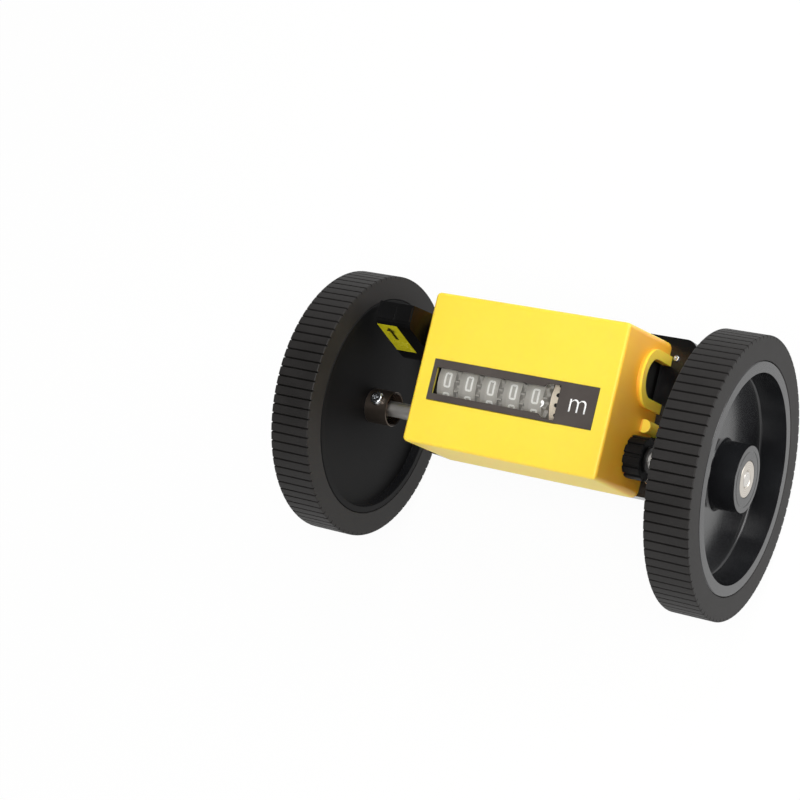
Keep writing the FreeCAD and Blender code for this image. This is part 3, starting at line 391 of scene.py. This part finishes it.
def lathe(name, profile, count, closed=True):
    """Turns a profile of (along X, radius) pairs about the axle by extruding a ring.

    A closed profile is a tube whose last ring is bridged to its first; an open one is a solid
    whose ends are filled.
    """
    deselect()
    start, radius = profile[0]
    bpy.ops.mesh.primitive_circle_add(vertices=count, radius=radius,
                                      rotation=(0, math.pi / 2, 0),
                                      location=(start, AXLE.y, AXLE.z))
    piece = bpy.context.object
    piece.name = piece.data.name = name
    bake_place(piece)
    bpy.ops.object.mode_set(mode="EDIT")
    bpy.ops.mesh.select_all(action="SELECT")
    for (old, old_radius), (new, new_radius) in zip(profile, profile[1:]):
        bpy.ops.mesh.extrude_region_move(TRANSFORM_OT_translate={"value": (new - old, 0, 0)})
        share = new_radius / old_radius
        if abs(share - 1) > 1e-9:
            bpy.ops.transform.resize(value=(1, share, share),
                                     center_override=(new, AXLE.y, AXLE.z))
    bpy.ops.mesh.select_all(action="DESELECT")
    bpy.ops.mesh.select_non_manifold(extend=False, use_wire=True, use_boundary=True,
                                     use_multi_face=False, use_non_contiguous=False,
                                     use_verts=False)
    if closed:
        bpy.ops.mesh.bridge_edge_loops()
    else:
        bpy.ops.mesh.fill_holes(sides=0)
    bpy.ops.mesh.select_all(action="SELECT")
    bpy.ops.mesh.normals_make_consistent(inside=False)
    bpy.ops.object.mode_set(mode="OBJECT")
    return piece


def rounded(centre_x, centre_r, radius, start, end):
    """Points of an arc in a profile, from one angle to another in degrees."""
    steps = 5
    angles = [math.radians(start + (end - start) * step / steps) for step in range(steps + 1)]
    return [(centre_x + radius * math.cos(angle), centre_r + radius * math.sin(angle))
            for angle in angles]


def span(node):
    """How near and how far a round node reaches along X from the middle, and its radius."""
    low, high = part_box(node)
    inner, outer = sorted((abs(low.x), abs(high.x)))
    return inner, outer, (high.z - low.z) / 2


def mirrored(side, profile):
    """A profile drawn for the right side, moved to the left one."""
    return profile if side == "right" else [(-along, radius) for along, radius in profile]


def softened(node, name, width, segments, angle=40):
    """A copy of a CAD node with its triangles merged and its sharp edges rounded."""
    deselect()
    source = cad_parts[node]
    piece = bpy.data.objects.new(name, source.data.copy())
    piece.data.name = name
    bpy.context.scene.collection.objects.link(piece)
    activate(piece)
    bpy.ops.object.mode_set(mode="EDIT")
    bpy.ops.mesh.select_all(action="SELECT")
    bpy.ops.mesh.customdata_custom_splitnormals_clear()
    bpy.ops.mesh.remove_doubles(threshold=0.002 * MM)
    bpy.ops.mesh.dissolve_limited(angle_limit=math.radians(1))
    bpy.ops.object.mode_set(mode="OBJECT")
    bevel(piece, width, segments, angle)
    shade(piece)
    return piece


def finish_node(node, finish):
    """Gives a CAD node that stays its own material."""
    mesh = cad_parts[node].data
    mesh.materials.clear()
    mesh.materials.append(materials[finish])


def joined(pieces, name):
    deselect()
    for piece in pieces:
        piece.select_set(True)
    bpy.context.view_layer.objects.active = pieces[0]
    bpy.ops.object.join()
    whole = bpy.context.object
    whole.name = whole.data.name = name
    return whole


# Sizes and colours that a user would change

def length(name, description, value):
    return bpy.props.FloatProperty(name=name, description=description, default=value,
                                   min=0.0, max=0.2, unit="LENGTH", precision=5)


def hex_text(name, description, value):
    return bpy.props.StringProperty(name=name, description=description, default=value)


class CounterColours(bpy.types.PropertyGroup):
    cover: hex_text("Cover", "Lighter end of the yellow cover, as sRGB hex", "FBD845")
    cover_dark: hex_text("Cover drift", "Darker end of the yellow cover", "FAD540")
    # Painted shade: the orange that the cover's side walls are turned towards.
    cover_wall: hex_text("Cover walls", "The cover's thin side walls", "F0AE2C")
    black: hex_text("Base", "Black base and reset lever", "0A0A0A")
    tyre: hex_text("Tyre", "Rubber of the tyres", "191716")
    wheel: hex_text("Wheel", "Moulded rim, web and hub", "1B1C1E")
    bezel: hex_text("Bezel", "Printed plate round the window", "453F3C")
    drum: hex_text("Drums", "Number drums between their columns", "B3B0AC")


class WheelSizes(bpy.types.PropertyGroup):
    ribs: bpy.props.IntProperty(name="Ribs", description="Cross ribs round each tyre",
                                default=90, min=12, max=200)
    groove: length("Groove depth", "Depth of the grooves between ribs", 1.0 * MM)
    shoulder: length("Shoulder", "Rounding where the tread meets the sidewall", 0.4 * MM)
    lip: length("Rim lip", "Inner radius of the rim's flat outer lip", 39.4 * MM)
    recess: length("Recess", "Depth of the web below the outer face", 10.5 * MM)
    inner_recess: length("Inner recess", "Depth of the web below the inner face", 3.5 * MM)
    hub: length("Hub radius", "Radius of the moulded hub", 12.5 * MM)
    insert: length("Insert radius", "Radius of the alloy insert and the collar", 7 * MM)


class NumberSizes(bpy.types.PropertyGroup):
    height: length("Digit height", "Height of the printed numbers", 5.95 * MM)
    width: length("Digit width", "Width of the printed numbers", 3.0 * MM)
    stroke: length("Stroke", "Width of the numbers' strokes", 0.8 * MM)
    ink: length("Ink", "Thickness of the printing, thick enough to show", 0.06 * MM)
    # Painted shade: the dark bars on the tenths drum stand for the shaded gaps between its gear's
    # teeth.
    tick_reach: length("Tick", "Length of the ticks on the tenths drum", 3.0 * MM)
    tick_height: length("Tick height", "Width of a tick round the drum", 1.6 * MM)
    tick_margin: length("Tick margin", "From the drum's left edge to the ticks", 0.7 * MM)


def digit_centre(decade):
    """The middle of a drum's printed band along X, which its CAD node's rim and gear widen."""
    low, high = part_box("number_wheel_" + decade)
    return (low.x + DRUM_RIM + high.x - DRUM_GEAR) / 2


# Pieces

class COUNTER_OT_tyres(bpy.types.Operator):
    """Build the two ribbed rubber tyres"""

    bl_idname = "counter.tyres"
    bl_label = "Tyres"

    def execute(self, context):
        sizes = context.scene.counter_wheels
        edge, chamfer, flank = sizes.shoulder, 0.25 * MM, TYRE_SEAT + 4 * MM
        steps = 10
        for side in SIDES:
            inner, outer, tread = span("tyre_" + side)
            profile = mirrored(side, [
                (inner, TYRE_SEAT + chamfer), (inner, flank), (inner, tread - 1.5 * edge),
                (inner + 0.25 * edge, tread - 0.45 * edge), (inner + edge, tread),
                (outer - edge, tread), (outer - 0.25 * edge, tread - 0.45 * edge),
                (outer, tread - 1.5 * edge), (outer, flank), (outer, TYRE_SEAT + chamfer),
                (outer - chamfer, TYRE_SEAT), (inner + chamfer, TYRE_SEAT)])
            tyre = lathe("ribbed_tyre_" + side, profile, sizes.ribs * steps)
            self.cut_grooves(tyre, sizes, tread, steps)
            shade(tyre, angle=28)
            dress(tyre, "rubber", "axle", ["tyre_" + side])
        return {"FINISHED"}

    def cut_grooves(self, tyre, sizes, tread, steps):
        """Draws one row of vertices in each rib's pitch towards the axle, across the tread."""
        bpy.ops.object.mode_set(mode="EDIT")
        pitch = 2 * math.pi / sizes.ribs
        foot, nearest = tread - 1.6 * sizes.shoulder, 0.4

        def in_groove(vertex):
            up, out = vertex.co.y - AXLE.y, vertex.co.z - AXLE.z
            turn = math.atan2(up, out) % pitch / pitch * steps
            return math.hypot(up, out) > foot and min(turn, steps - turn) < nearest

        pick(tyre, in_groove)
        share = (tread - sizes.groove) / tread
        bpy.ops.transform.resize(value=(1, share, share), center_override=AXLE)
        bpy.ops.object.mode_set(mode="OBJECT")


class COUNTER_OT_wheels(bpy.types.Operator):
    """Build the moulded wheels with their rim, web and hub"""

    bl_idname = "counter.wheels"
    bl_label = "Wheels"

    def execute(self, context):
        sizes = context.scene.counter_wheels
        hub, lip, draft, fillet, chamfer = sizes.hub, sizes.lip, 0.4 * MM, 1.2 * MM, 0.5 * MM
        for side in SIDES:
            inner, outer, seat = span("wheel_" + side)
            web_out, web_in = outer - sizes.recess, inner + sizes.inner_recess
            profile = [(web_in, sizes.insert), (outer, sizes.insert)]
            profile += [(outer - depth, hub - edge) for edge, depth in SCRIBED_RING]
            profile.append((outer, hub))
            profile += rounded(web_out + fillet, hub + draft + fillet, fillet, 270, 180)
            profile += rounded(web_out + fillet, lip - draft - fillet, fillet, 180, 90)
            profile += [(outer, lip), (outer, seat - chamfer), (outer - chamfer, seat),
                        (inner + chamfer, seat), (inner, seat - chamfer),
                        (inner, seat - 2.6 * MM), (web_in, seat - 3.0 * MM)]
            wheel = lathe("moulded_wheel_" + side, mirrored(side, profile), count=128)
            bevel(wheel, 0.35 * MM, angle=40)
            shade(wheel)
            dress(wheel, "wheel", "axle", ["wheel_" + side])
            # Painted shade: the faces towards the housing take the darker, duller nylon.
            wheel.data.materials.append(materials["wheel_inside"])
            inward = 1 if side == "left" else -1
            for face in wheel.data.polygons:
                if face.normal.x * inward > 0.5 and abs(face.center.x) < web_in + MM:
                    face.material_index = 1
        return {"FINISHED"}


class COUNTER_OT_axle(bpy.types.Operator):
    """Build the axle, the hub inserts, the collars and the washers"""

    bl_idname = "counter.axle"
    bl_label = "Axle and collars"

    def execute(self, context):
        insert = context.scene.counter_wheels.insert
        low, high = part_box("main_shaft")
        radius, chamfer = (high.z - low.z) / 2, 0.5 * MM
        shaft = lathe("ground_axle", [
            (low.x, radius - chamfer), (low.x + chamfer, radius), (high.x - chamfer, radius),
            (high.x, radius - chamfer)], count=64, closed=False)
        bevel(shaft, 0.08 * MM)
        shade(shaft)
        dress(shaft, "steel", "axle", ["main_shaft"])
        for side in SIDES:
            self.insert(side, radius + BORE_PLAY, insert)
            self.collar(side, radius + BORE_PLAY, insert)
            inner, outer, outside = span("thrust_washer_" + side)
            bore = radius + WASHER_PLAY
            washer = lathe("washer_" + side, mirrored(side, [
                (inner, bore), (outer, bore), (outer, outside), (inner, outside)]), count=48)
            bevel(washer, 0.15 * MM)
            shade(washer)
            dress(washer, "oxide", "axle", ["thrust_washer_" + side])
        return {"FINISHED"}

    def insert(self, side, bore, outside):
        """The alloy sleeve in a hub, its bore and its rim chamfered on the outer face."""
        inner, outer = span("hub_insert_" + side)[:2]
        lead, rise, chamfer = 0.5 * MM, 0.4 * MM, 0.3 * MM
        insert = lathe("alloy_insert_" + side, mirrored(side, [
            (inner, bore), (outer - lead, bore), (outer, bore + rise),
            (outer, outside - chamfer), (outer - chamfer, outside), (inner, outside)]),
            count=72)
        shade(insert)
        dress(insert, "alloy", "axle", ["hub_insert_" + side])

    def collar(self, side, bore, outside):
        """A collar with a thin-walled mouth towards the housing."""
        inner, outer = span("shaft_collar_" + side)[:2]
        mouth, depth, lip, chamfer = outside - 0.7 * MM, 2.2 * MM, 0.2 * MM, 0.25 * MM
        collar = lathe("alloy_collar_" + side, mirrored(side, [
            (inner + depth, bore), (inner + depth, mouth), (inner + lip, mouth),
            (inner, mouth + lip), (inner, outside - chamfer), (inner + chamfer, outside),
            (outer, outside), (outer, bore)]), count=72)
        shade(collar)
        dress(collar, "dull_alloy", "axle", ["shaft_collar_" + side])


def cross_head_screw(foot, way, radius, height):
    """A pan-head screw with a cross recess, standing on a point and facing a direction."""
    crown, blade_length, blade_width, blade_depth = 0.45, 1.15, 0.28, 0.8
    deselect()
    bpy.ops.mesh.primitive_cylinder_add(vertices=40, radius=radius, depth=height,
                                        location=(0, 0, height / 2))
    screw = bpy.context.object
    bake_place(screw)
    bpy.ops.object.mode_set(mode="EDIT")
    pick(screw, lambda face: face.normal.z > 0.9, "faces")
    bpy.ops.mesh.bevel(offset=height * crown, segments=4, affect="EDGES")
    bpy.ops.object.mode_set(mode="OBJECT")
    cutters = []
    for turn in (0, math.pi / 2):
        bpy.ops.mesh.primitive_cube_add(size=1, location=(0, 0, height), rotation=(0, 0, turn))
        cutter = bpy.context.object
        cutter.scale = (radius * blade_length, radius * blade_width, height * blade_depth)
        bake_place(cutter)
        cutters.append(cutter)
    for cutter in cutters:
        apply_modifier(screw, "BOOLEAN", operation="DIFFERENCE", object=cutter, solver="EXACT")
        bpy.data.objects.remove(cutter)
    bevel(screw, radius * 0.04, angle=40)
    shade(screw)
    turn = Vector((0, 0, 1)).rotation_difference(Vector(way))
    screw.matrix_world = Matrix.Translation(foot) @ turn.to_matrix().to_4x4()
    bake_place(screw)
    return screw


class COUNTER_OT_screws(bpy.types.Operator):
    """Build the cross-head screws of the collars and those beside the cover"""

    bl_idname = "counter.screws"
    bl_label = "Screws"

    def execute(self, context):
        insert = context.scene.counter_wheels.insert
        sunk, height = 0.5 * MM, 2.3 * MM
        way = Vector((0, math.sin(COLLAR_SCREW_TILT), math.cos(COLLAR_SCREW_TILT)))
        screws = []
        for side in SIDES:
            along = middle("shaft_collar_" + side).x
            foot = Vector((along, AXLE.y, AXLE.z)) + way * (insert - sunk)
            screws.append(cross_head_screw(foot, way, COLLAR_SCREW_RADIUS, height))
        dress(joined(screws, "collar_pan_screws"), "zinc", "axle",
              ["collar_screws"])
        low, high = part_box("ear_screws")
        reach = EAR_SCREW_RADIUS
        heads = [cross_head_screw(Vector((x, y, low.z)), (0, 0, 1), reach, high.z - low.z)
                 for x in (low.x + reach, high.x - reach)
                 for y in (low.y + reach, high.y - reach)]
        dress(joined(heads, "ear_pan_screws"), "zinc", "housing", ["ear_screws"])
        return {"FINISHED"}


class COUNTER_OT_housing(bpy.types.Operator):
    """Round the edges of the cover, the base, the nuts and the bushes, and finish them"""

    bl_idname = "counter.housing"
    bl_label = "Housing"

    def execute(self, context):
        cover = softened("cover_shell", "yellow_cover", 0.25 * MM, segments=2)
        dress(cover, "cover", "housing", ["cover_shell"])
        base = softened("base_frame", "black_base", 0.4 * MM, segments=3)
        dress(base, "black", "housing", ["base_frame"])
        for side in SIDES:
            nut = softened("bush_nut_" + side, "fluted_nut_" + side, 0.3 * MM, segments=3,
                           angle=25)
            dress(nut, "wheel_inside", "housing", ["bush_nut_" + side])
            bush = softened("bearing_bush_" + side, "threaded_bush_" + side, 0.25 * MM,
                            segments=2)
            dress(bush, "oxide", "housing", ["bearing_bush_" + side])
        return {"FINISHED"}


def flat_text(body, name, height, width=None, weight=0.0):
    """One character as a flat mesh, of the given height and width, about its own middle."""
    deselect()
    bpy.ops.object.text_add()
    text = bpy.context.object
    text.data.body = body
    text.data.size = 1.0
    text.data.resolution_u = 6
    text.data.offset = weight
    activate(text)
    bpy.ops.object.convert(target="MESH")
    mesh = bpy.context.object
    mesh.name = mesh.data.name = name
    points = [vertex.co for vertex in mesh.data.vertices]
    low = Vector([min(point[axis] for point in points) for axis in range(3)])
    high = Vector([max(point[axis] for point in points) for axis in range(3)])
    size = high - low
    tall = height / size.y
    wide = width / size.x if width else tall
    centre = (low + high) / 2
    mesh.data.transform(Matrix.Diagonal((wide, tall, 1, 1)) @ Matrix.Translation(-centre))
    activate(mesh)
    bpy.ops.object.mode_set(mode="EDIT")
    bpy.ops.mesh.select_all(action="SELECT")
    bpy.ops.mesh.remove_doubles(threshold=0.005 * MM)
    bpy.ops.object.mode_set(mode="OBJECT")
    return mesh


def flat_bar(name, low, high, ends=None, rounding=0.0):
    """A flat rectangle between two corners; vertices that pass the test ends are rounded."""
    deselect()
    middle_place = ((low[0] + high[0]) / 2, (low[1] + high[1]) / 2, 0)
    bpy.ops.mesh.primitive_plane_add(size=1, location=middle_place)
    bar = bpy.context.object
    bar.name = bar.data.name = name
    bar.scale = (high[0] - low[0], high[1] - low[1], 1)
    bake_place(bar)
    if rounding:
        bpy.ops.object.mode_set(mode="EDIT")
        pick(bar, ends)
        bpy.ops.mesh.bevel(offset=rounding, segments=4, affect="VERTICES")
        bpy.ops.object.mode_set(mode="OBJECT")
    return bar


def flat_ring(name, low, high, stroke, corner):
    """A rounded rectangle drawn with one stroke, as the narrow noughts of a counter are."""
    ring = flat_bar(name, low, high, lambda vertex: True, corner)
    bpy.ops.object.mode_set(mode="EDIT")
    bpy.ops.mesh.select_all(action="SELECT")
    bpy.ops.mesh.inset(thickness=stroke, use_boundary=True)
    bpy.ops.mesh.delete(type="FACE")
    bpy.ops.object.mode_set(mode="OBJECT")
    return ring


def flat_digit(value, sizes):
    """A narrow upright number; those with a closed bowl are drawn as rings and bars."""
    wide, tall, stroke = sizes.width / 2, sizes.height / 2, sizes.stroke
    corner, bowl, reach = sizes.width * 0.3, sizes.height * 0.1, wide * 0.8

    def ring(low, high):
        return flat_ring("digit", (-wide, low), (wide, high), stroke, corner)

    if value == 0:
        return ring(-tall, tall)
    if value == 8:
        return joined([ring(-tall, stroke / 2), ring(-stroke / 2, tall)], "digit")
    if value == 6:
        return joined([ring(-tall, bowl),
                       flat_bar("stem", (-wide, 0), (stroke - wide, tall - stroke)),
                       flat_bar("top", (-wide, tall - stroke), (reach, tall))], "digit")
    if value == 9:
        return joined([ring(-bowl, tall),
                       flat_bar("stem", (wide - stroke, stroke - tall), (wide, 0)),
                       flat_bar("foot", (-reach, -tall), (wide, stroke - tall))], "digit")
    return flat_text(str(value), "digit", sizes.height, None if value == 1 else sizes.width,
                     weight=0.012)


def sliced(mesh, low, high, step):
    """Cuts a flat mesh across at even heights, so that it can bend round a drum."""
    activate(mesh)
    bpy.ops.object.mode_set(mode="EDIT")
    height = low + step
    while height < high:
        bpy.ops.mesh.select_all(action="SELECT")
        bpy.ops.mesh.bisect(plane_co=(0, height, 0), plane_no=(0, 1, 0))
        height += step
    bpy.ops.object.mode_set(mode="OBJECT")


def wrapped(mesh, along, angle, radius):
    """Bends a flat mesh round the number axis, turned by an angle towards the window's top."""
    for vertex in mesh.data.vertices:
        turn = angle + vertex.co.y / radius
        vertex.co = Vector((along + vertex.co.x,
                            NUMBER_AXIS.y + radius * math.sin(turn),
                            NUMBER_AXIS.z + radius * math.cos(turn)))


class COUNTER_OT_numbers(bpy.types.Operator):
    """Finish the number drums and build their printed numbers and the dark bars of painted shade
    on the tenths drum
    """

    bl_idname = "counter.numbers"
    bl_label = "Number drums"

    def execute(self, context):
        sizes = context.scene.counter_numbers
        low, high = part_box("number_wheel_units")
        radius = (high.z - low.z) / 2
        first = digit_centre("units")
        digits = []
        for value in range(10):
            digit = flat_digit(value, sizes)
            sliced(digit, -sizes.height / 2, sizes.height / 2, sizes.height / 6)
            wrapped(digit, first, 2 * math.pi * value / 10, radius)
            digits.append(digit)
        ink = joined(digits, "numbers_units")
        apply_modifier(ink, "SOLIDIFY", thickness=sizes.ink, offset=1.0)
        for decade in DECADES:
            copy = ink
            if decade != "units":
                copy = bpy.data.objects.new("numbers_" + decade, ink.data.copy())
                bpy.context.scene.collection.objects.link(copy)
                copy.data.transform(Matrix.Translation((digit_centre(decade) - first, 0, 0)))
            dress(copy, "white_ink", "digits_" + decade)
            finish_node("number_wheel_" + decade, "drum")
        finish_node("number_wheel_tenths", "cream")
        self.ticks(sizes, radius)
        return {"FINISHED"}

    def ticks(self, sizes, radius):
        """Painted shade: dark bars round the tenths drum, standing for the shaded gaps between
        its gear's teeth, each with a rounded end towards the units.
        """
        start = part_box("number_wheel_tenths")[0].x + DRUM_RIM + sizes.tick_margin
        half = sizes.tick_height / 2
        count = 20
        bars = []
        for index in range(count):
            bar = flat_bar("tick", (0, -half), (sizes.tick_reach, half),
                           lambda vertex: vertex.co.x < 0.1 * MM, half * 0.95)
            sliced(bar, -half, half, half / 2)
            wrapped(bar, start, 2 * math.pi * (index + 0.5) / count, radius)
            bars.append(bar)
        ticks = joined(bars, "tenths_ticks")
        apply_modifier(ticks, "SOLIDIFY", thickness=sizes.ink, offset=1.0)
        dress(ticks, "dark_ink_and_gap_shade", "digits_tenths")


class COUNTER_OT_window(bpy.types.Operator):
    """Build the window's plate, its clear pane, the unit letter and the comma"""

    bl_idname = "counter.window"
    bl_label = "Window"

    def execute(self, context):
        plate = softened("window_bezel", "window_plate", 0.12 * MM, segments=2)
        dress(plate, "bezel", "housing", ["window_bezel"])
        pane = softened("window_lens", "window_pane", 0.1 * MM, segments=2)
        dress(pane, "acrylic", "housing", ["window_lens"])
        letter = flat_text("m", "unit_letter", height=4.9 * MM, width=6.8 * MM, weight=-0.014)
        self.printed(letter, (27.9 * MM, -4.4 * MM), "window_bezel", ink=0.05 * MM)
        comma = flat_text(",", "decimal_comma", height=2.7 * MM)
        self.printed(comma, (13.2 * MM, -5.8 * MM), "window_lens", ink=0.04 * MM)
        return {"FINISHED"}

    def printed(self, mark, place, node, ink):
        """Lays a flat mark on a node's front face, its middle at a place, in white ink."""
        mark.data.transform(Matrix.Translation((*place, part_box(node)[1].z)))
        apply_modifier(mark, "SOLIDIFY", thickness=ink, offset=1.0)
        dress(mark, "white_ink", "housing")


class COUNTER_OT_lever(bpy.types.Operator):
    """Build the reset lever and its sticker with an arrow"""

    bl_idname = "counter.lever"
    bl_label = "Reset lever"

    def execute(self, context):
        lever = softened("reset_lever", "thumb_lever", 0.35 * MM, segments=3)
        dress(lever, "black", "reset", ["reset_lever"])
        sticker = softened("lever_label", "lever_sticker", 0.03 * MM, segments=1)
        dress(sticker, "vinyl", "reset", ["lever_label"])
        self.arrow(sticker)
        return {"FINISHED"}

    def arrow(self, sticker):
        """A printed arrow that points along the sticker to the lever's pads."""
        face = max(sticker.data.polygons, key=lambda face: face.area * (face.normal.y < 0))
        centre, out = face.center.copy(), face.normal.copy()
        across = Vector((1, 0, 0))
        forward = across.cross(out).normalized()
        if forward.z < 0:
            forward, across = -forward, -across
        half, head, tail, neck, tip = 0.75 * MM, 2.3 * MM, -1 * MM, 5.4 * MM, 3.2 * MM
        arrow = flat_bar("sticker_arrow", (-half, tail), (half, neck))
        bpy.ops.object.mode_set(mode="EDIT")
        pick(arrow, lambda vertex: vertex.co.y > neck / 2)
        bpy.ops.mesh.extrude_region_move(TRANSFORM_OT_translate={"value": (0, 0, 0)})
        bpy.ops.transform.resize(value=(head / half, 1, 1), center_override=(0, neck, 0))
        bpy.ops.mesh.extrude_region_move(TRANSFORM_OT_translate={"value": (0, tip, 0)})
        bpy.ops.mesh.merge(type="CENTER")
        bpy.ops.mesh.select_all(action="SELECT")
        bpy.ops.mesh.remove_doubles(threshold=0.01 * MM)
        bpy.ops.object.mode_set(mode="OBJECT")
        turn = Matrix((across, forward, out)).transposed().to_4x4()
        arrow.data.transform(Matrix.Translation(centre) @ turn)
        apply_modifier(arrow, "SOLIDIFY", thickness=0.03 * MM, offset=1.0)
        dress(arrow, "dark_ink_and_gap_shade", "reset")


class COUNTER_OT_inner_works(bpy.types.Operator):
    """Give the plates, shafts and gears inside their metals and plastics"""

    bl_idname = "counter.inner_works"
    bl_label = "Inner works"

    def execute(self, context):
        finishes = {"side_plate_left": "oxide", "side_plate_right": "oxide", "tie_rods": "steel",
                    "cover_screws": "zinc", "number_shaft": "steel", "pinion_shaft": "steel",
                    "idler_pin": "steel", "idler_clip": "zinc", "idler_gears": "acetal",
                    "drive_gear": "acetal", "reset_shaft": "steel", "reset_hammers": "acetal"}
        finishes.update({"carry_pinion_" + decade: "acetal" for decade in DECADES})
        for node, finish in finishes.items():
            finish_node(node, finish)
        return {"FINISHED"}


# Stage

def area_lamp(name, place, aim, size, power):
    lamp = bpy.data.lights.new(name, "AREA")
    lamp.shape = "RECTANGLE"
    lamp.size, lamp.size_y = size
    lamp.energy = power
    holder = bpy.data.objects.new(name, lamp)
    holder.location = place
    holder.rotation_euler = (Vector(aim) - Vector(place)).to_track_quat("-Z", "Y").to_euler()
    bpy.context.scene.collection.objects.link(holder)


class COUNTER_OT_stage(bpy.types.Operator):
    """Set the camera, the lamps, the pale floor and the white surroundings"""

    bl_idname = "counter.stage"
    bl_label = "Stage"

    def execute(self, context):
        scene = context.scene
        scene.view_settings.view_transform = "Standard"
        self.camera(scene)
        self.lamps()
        self.world(scene)
        self.floor()
        return {"FINISHED"}

    def camera(self, scene):
        """Stands where the photograph was taken, as fitted to the counter's known outlines."""
        place = (0.3207, -0.0723, 0.6951)
        right = Vector((0.852, 0.235, -0.468)).normalized()
        forward = Vector((-0.496, 0.078, -0.865)).normalized()
        up = right.cross(forward).normalized()
        right = forward.cross(up).normalized()
        data = bpy.data.cameras.new("photo_camera")
        data.lens = 86.0
        data.sensor_width = 36.0
        data.clip_start, data.clip_end = 0.01, 50
        camera = bpy.data.objects.new("photo_camera", data)
        turn = Matrix((right, up, -forward)).transposed()
        camera.matrix_world = Matrix.Translation(place) @ turn.to_4x4()
        scene.collection.objects.link(camera)
        scene.camera = camera

    def lamps(self):
        aim = (0, 0, 0.03)
        area_lamp("key", (0.25, 0.85, 0.9), aim, (0.7, 0.7), 5)
        area_lamp("front", (0.35, -0.1, 1.0), aim, (0.5, 0.5), 7)
        area_lamp("side", (1.0, 0.6, 0.45), aim, (0.7, 0.7), 7)
        area_lamp("low", (-0.1, -1.0, 0.5), aim, (1.0, 0.5), 2.5)

    def world(self, scene):
        """White round about and darker overhead, as a studio is, with an even pale light."""
        even_light = 0.34
        white, overhead, white_up_to, dark_from = 1.0, 0.12, 0.25, 0.6
        world = bpy.data.worlds.new("white_room")
        world.use_nodes = True
        world.node_tree.nodes.clear()
        way = add_node(world, "ShaderNodeTexCoord").outputs["Generated"]
        rise = add_node(world, "ShaderNodeSeparateXYZ", links={"Vector": way}).outputs["Z"]
        backdrop = add_node(world, "ShaderNodeMapRange", {
            "From Min": white_up_to, "From Max": dark_from, "To Min": white,
            "To Max": overhead}, {"Value": rise})
        strength = add_node(world, "ShaderNodeMix", {"data_type": "FLOAT", FLOAT_A: even_light},
                            {MIX_FACTOR: self.seen(world), FLOAT_B: backdrop.outputs["Result"]})
        light = add_node(world, "ShaderNodeBackground",
                         links={"Strength": strength.outputs[FLOAT_RESULT]})
        add_node(world, "ShaderNodeOutputWorld", links={"Surface": light.outputs[0]})
        scene.world = world

    def seen(self, owner):
        """1 for rays by which the backdrop is seen, directly, in gloss or through the pane."""
        path = add_node(owner, "ShaderNodeLightPath")
        value = path.outputs["Is Camera Ray"]
        for name in ("Is Glossy Ray", "Is Transmission Ray"):
            value = add_node(owner, "ShaderNodeMath", {"operation": "MAXIMUM"},
                             {0: value, 1: path.outputs[name]}).outputs[0]
        return value

    def floor(self):
        deselect()
        bpy.ops.mesh.primitive_plane_add(size=6, location=(0, 0, FLOOR))
        floor = bpy.context.object
        floor.name = "floor"
        bake_place(floor)
        # White paint that glows where it is seen, so that only its shadow tells it from the
        # backdrop.
        glowing = 0.95
        material = new_material("pale_floor")
        share = add_node(material, "ShaderNodeMath",
                         {"operation": "MULTIPLY", 1: glowing}, {0: self.seen(material)})
        paint = add_node(material, "ShaderNodeBsdfDiffuse", {"Color": linear("F4F4F2")})
        glow = add_node(material, "ShaderNodeEmission", {"Strength": 1.0})
        mixed = add_node(material, "ShaderNodeMixShader", links={
            "Fac": share.outputs[0], 1: paint.outputs[0], 2: glow.outputs[0]})
        close_material(material, mixed)
        floor.data.materials.append(material)


class COUNTER_PT_panel(bpy.types.Panel):
    """Lists the counter's pieces, sizes and colours"""

    bl_label = "Cable length counter"
    bl_idname = "COUNTER_PT_panel"
    bl_space_type = "VIEW_3D"
    bl_region_type = "UI"
    bl_category = "Counter"

    def draw(self, context):
        for group in ("counter_colours", "counter_wheels", "counter_numbers"):
            box = self.layout.box()
            settings = getattr(context.scene, group)
            for name in settings.bl_rna.properties.keys():
                if name not in ("rna_type", "name"):
                    box.prop(settings, name)
        for operator in PIECE_OPERATORS:
            self.layout.operator(operator.bl_idname)


PIECE_OPERATORS = (COUNTER_OT_tyres, COUNTER_OT_wheels, COUNTER_OT_axle, COUNTER_OT_screws,
                   COUNTER_OT_housing, COUNTER_OT_window, COUNTER_OT_numbers, COUNTER_OT_lever,
                   COUNTER_OT_inner_works, COUNTER_OT_stage)
GROUPS = (CounterColours, WheelSizes, NumberSizes)


def register():
    for kind in (*GROUPS, *PIECE_OPERATORS, COUNTER_PT_panel):
        bpy.utils.register_class(kind)
    bpy.types.Scene.counter_colours = bpy.props.PointerProperty(type=CounterColours)
    bpy.types.Scene.counter_wheels = bpy.props.PointerProperty(type=WheelSizes)
    bpy.types.Scene.counter_numbers = bpy.props.PointerProperty(type=NumberSizes)


def unregister():
    del bpy.types.Scene.counter_colours
    del bpy.types.Scene.counter_wheels
    del bpy.types.Scene.counter_numbers
    for kind in reversed((*GROUPS, *PIECE_OPERATORS, COUNTER_PT_panel)):
        bpy.utils.unregister_class(kind)


def main():
    register()
    make_materials(bpy.context.scene.counter_colours)
    bpy.ops.counter.tyres()
    bpy.ops.counter.wheels()
    bpy.ops.counter.axle()
    bpy.ops.counter.screws()
    bpy.ops.counter.housing()
    bpy.ops.counter.window()
    bpy.ops.counter.numbers()
    bpy.ops.counter.lever()
    bpy.ops.counter.inner_works()
    bpy.ops.counter.stage()


if __name__ == "__main__":
    main()
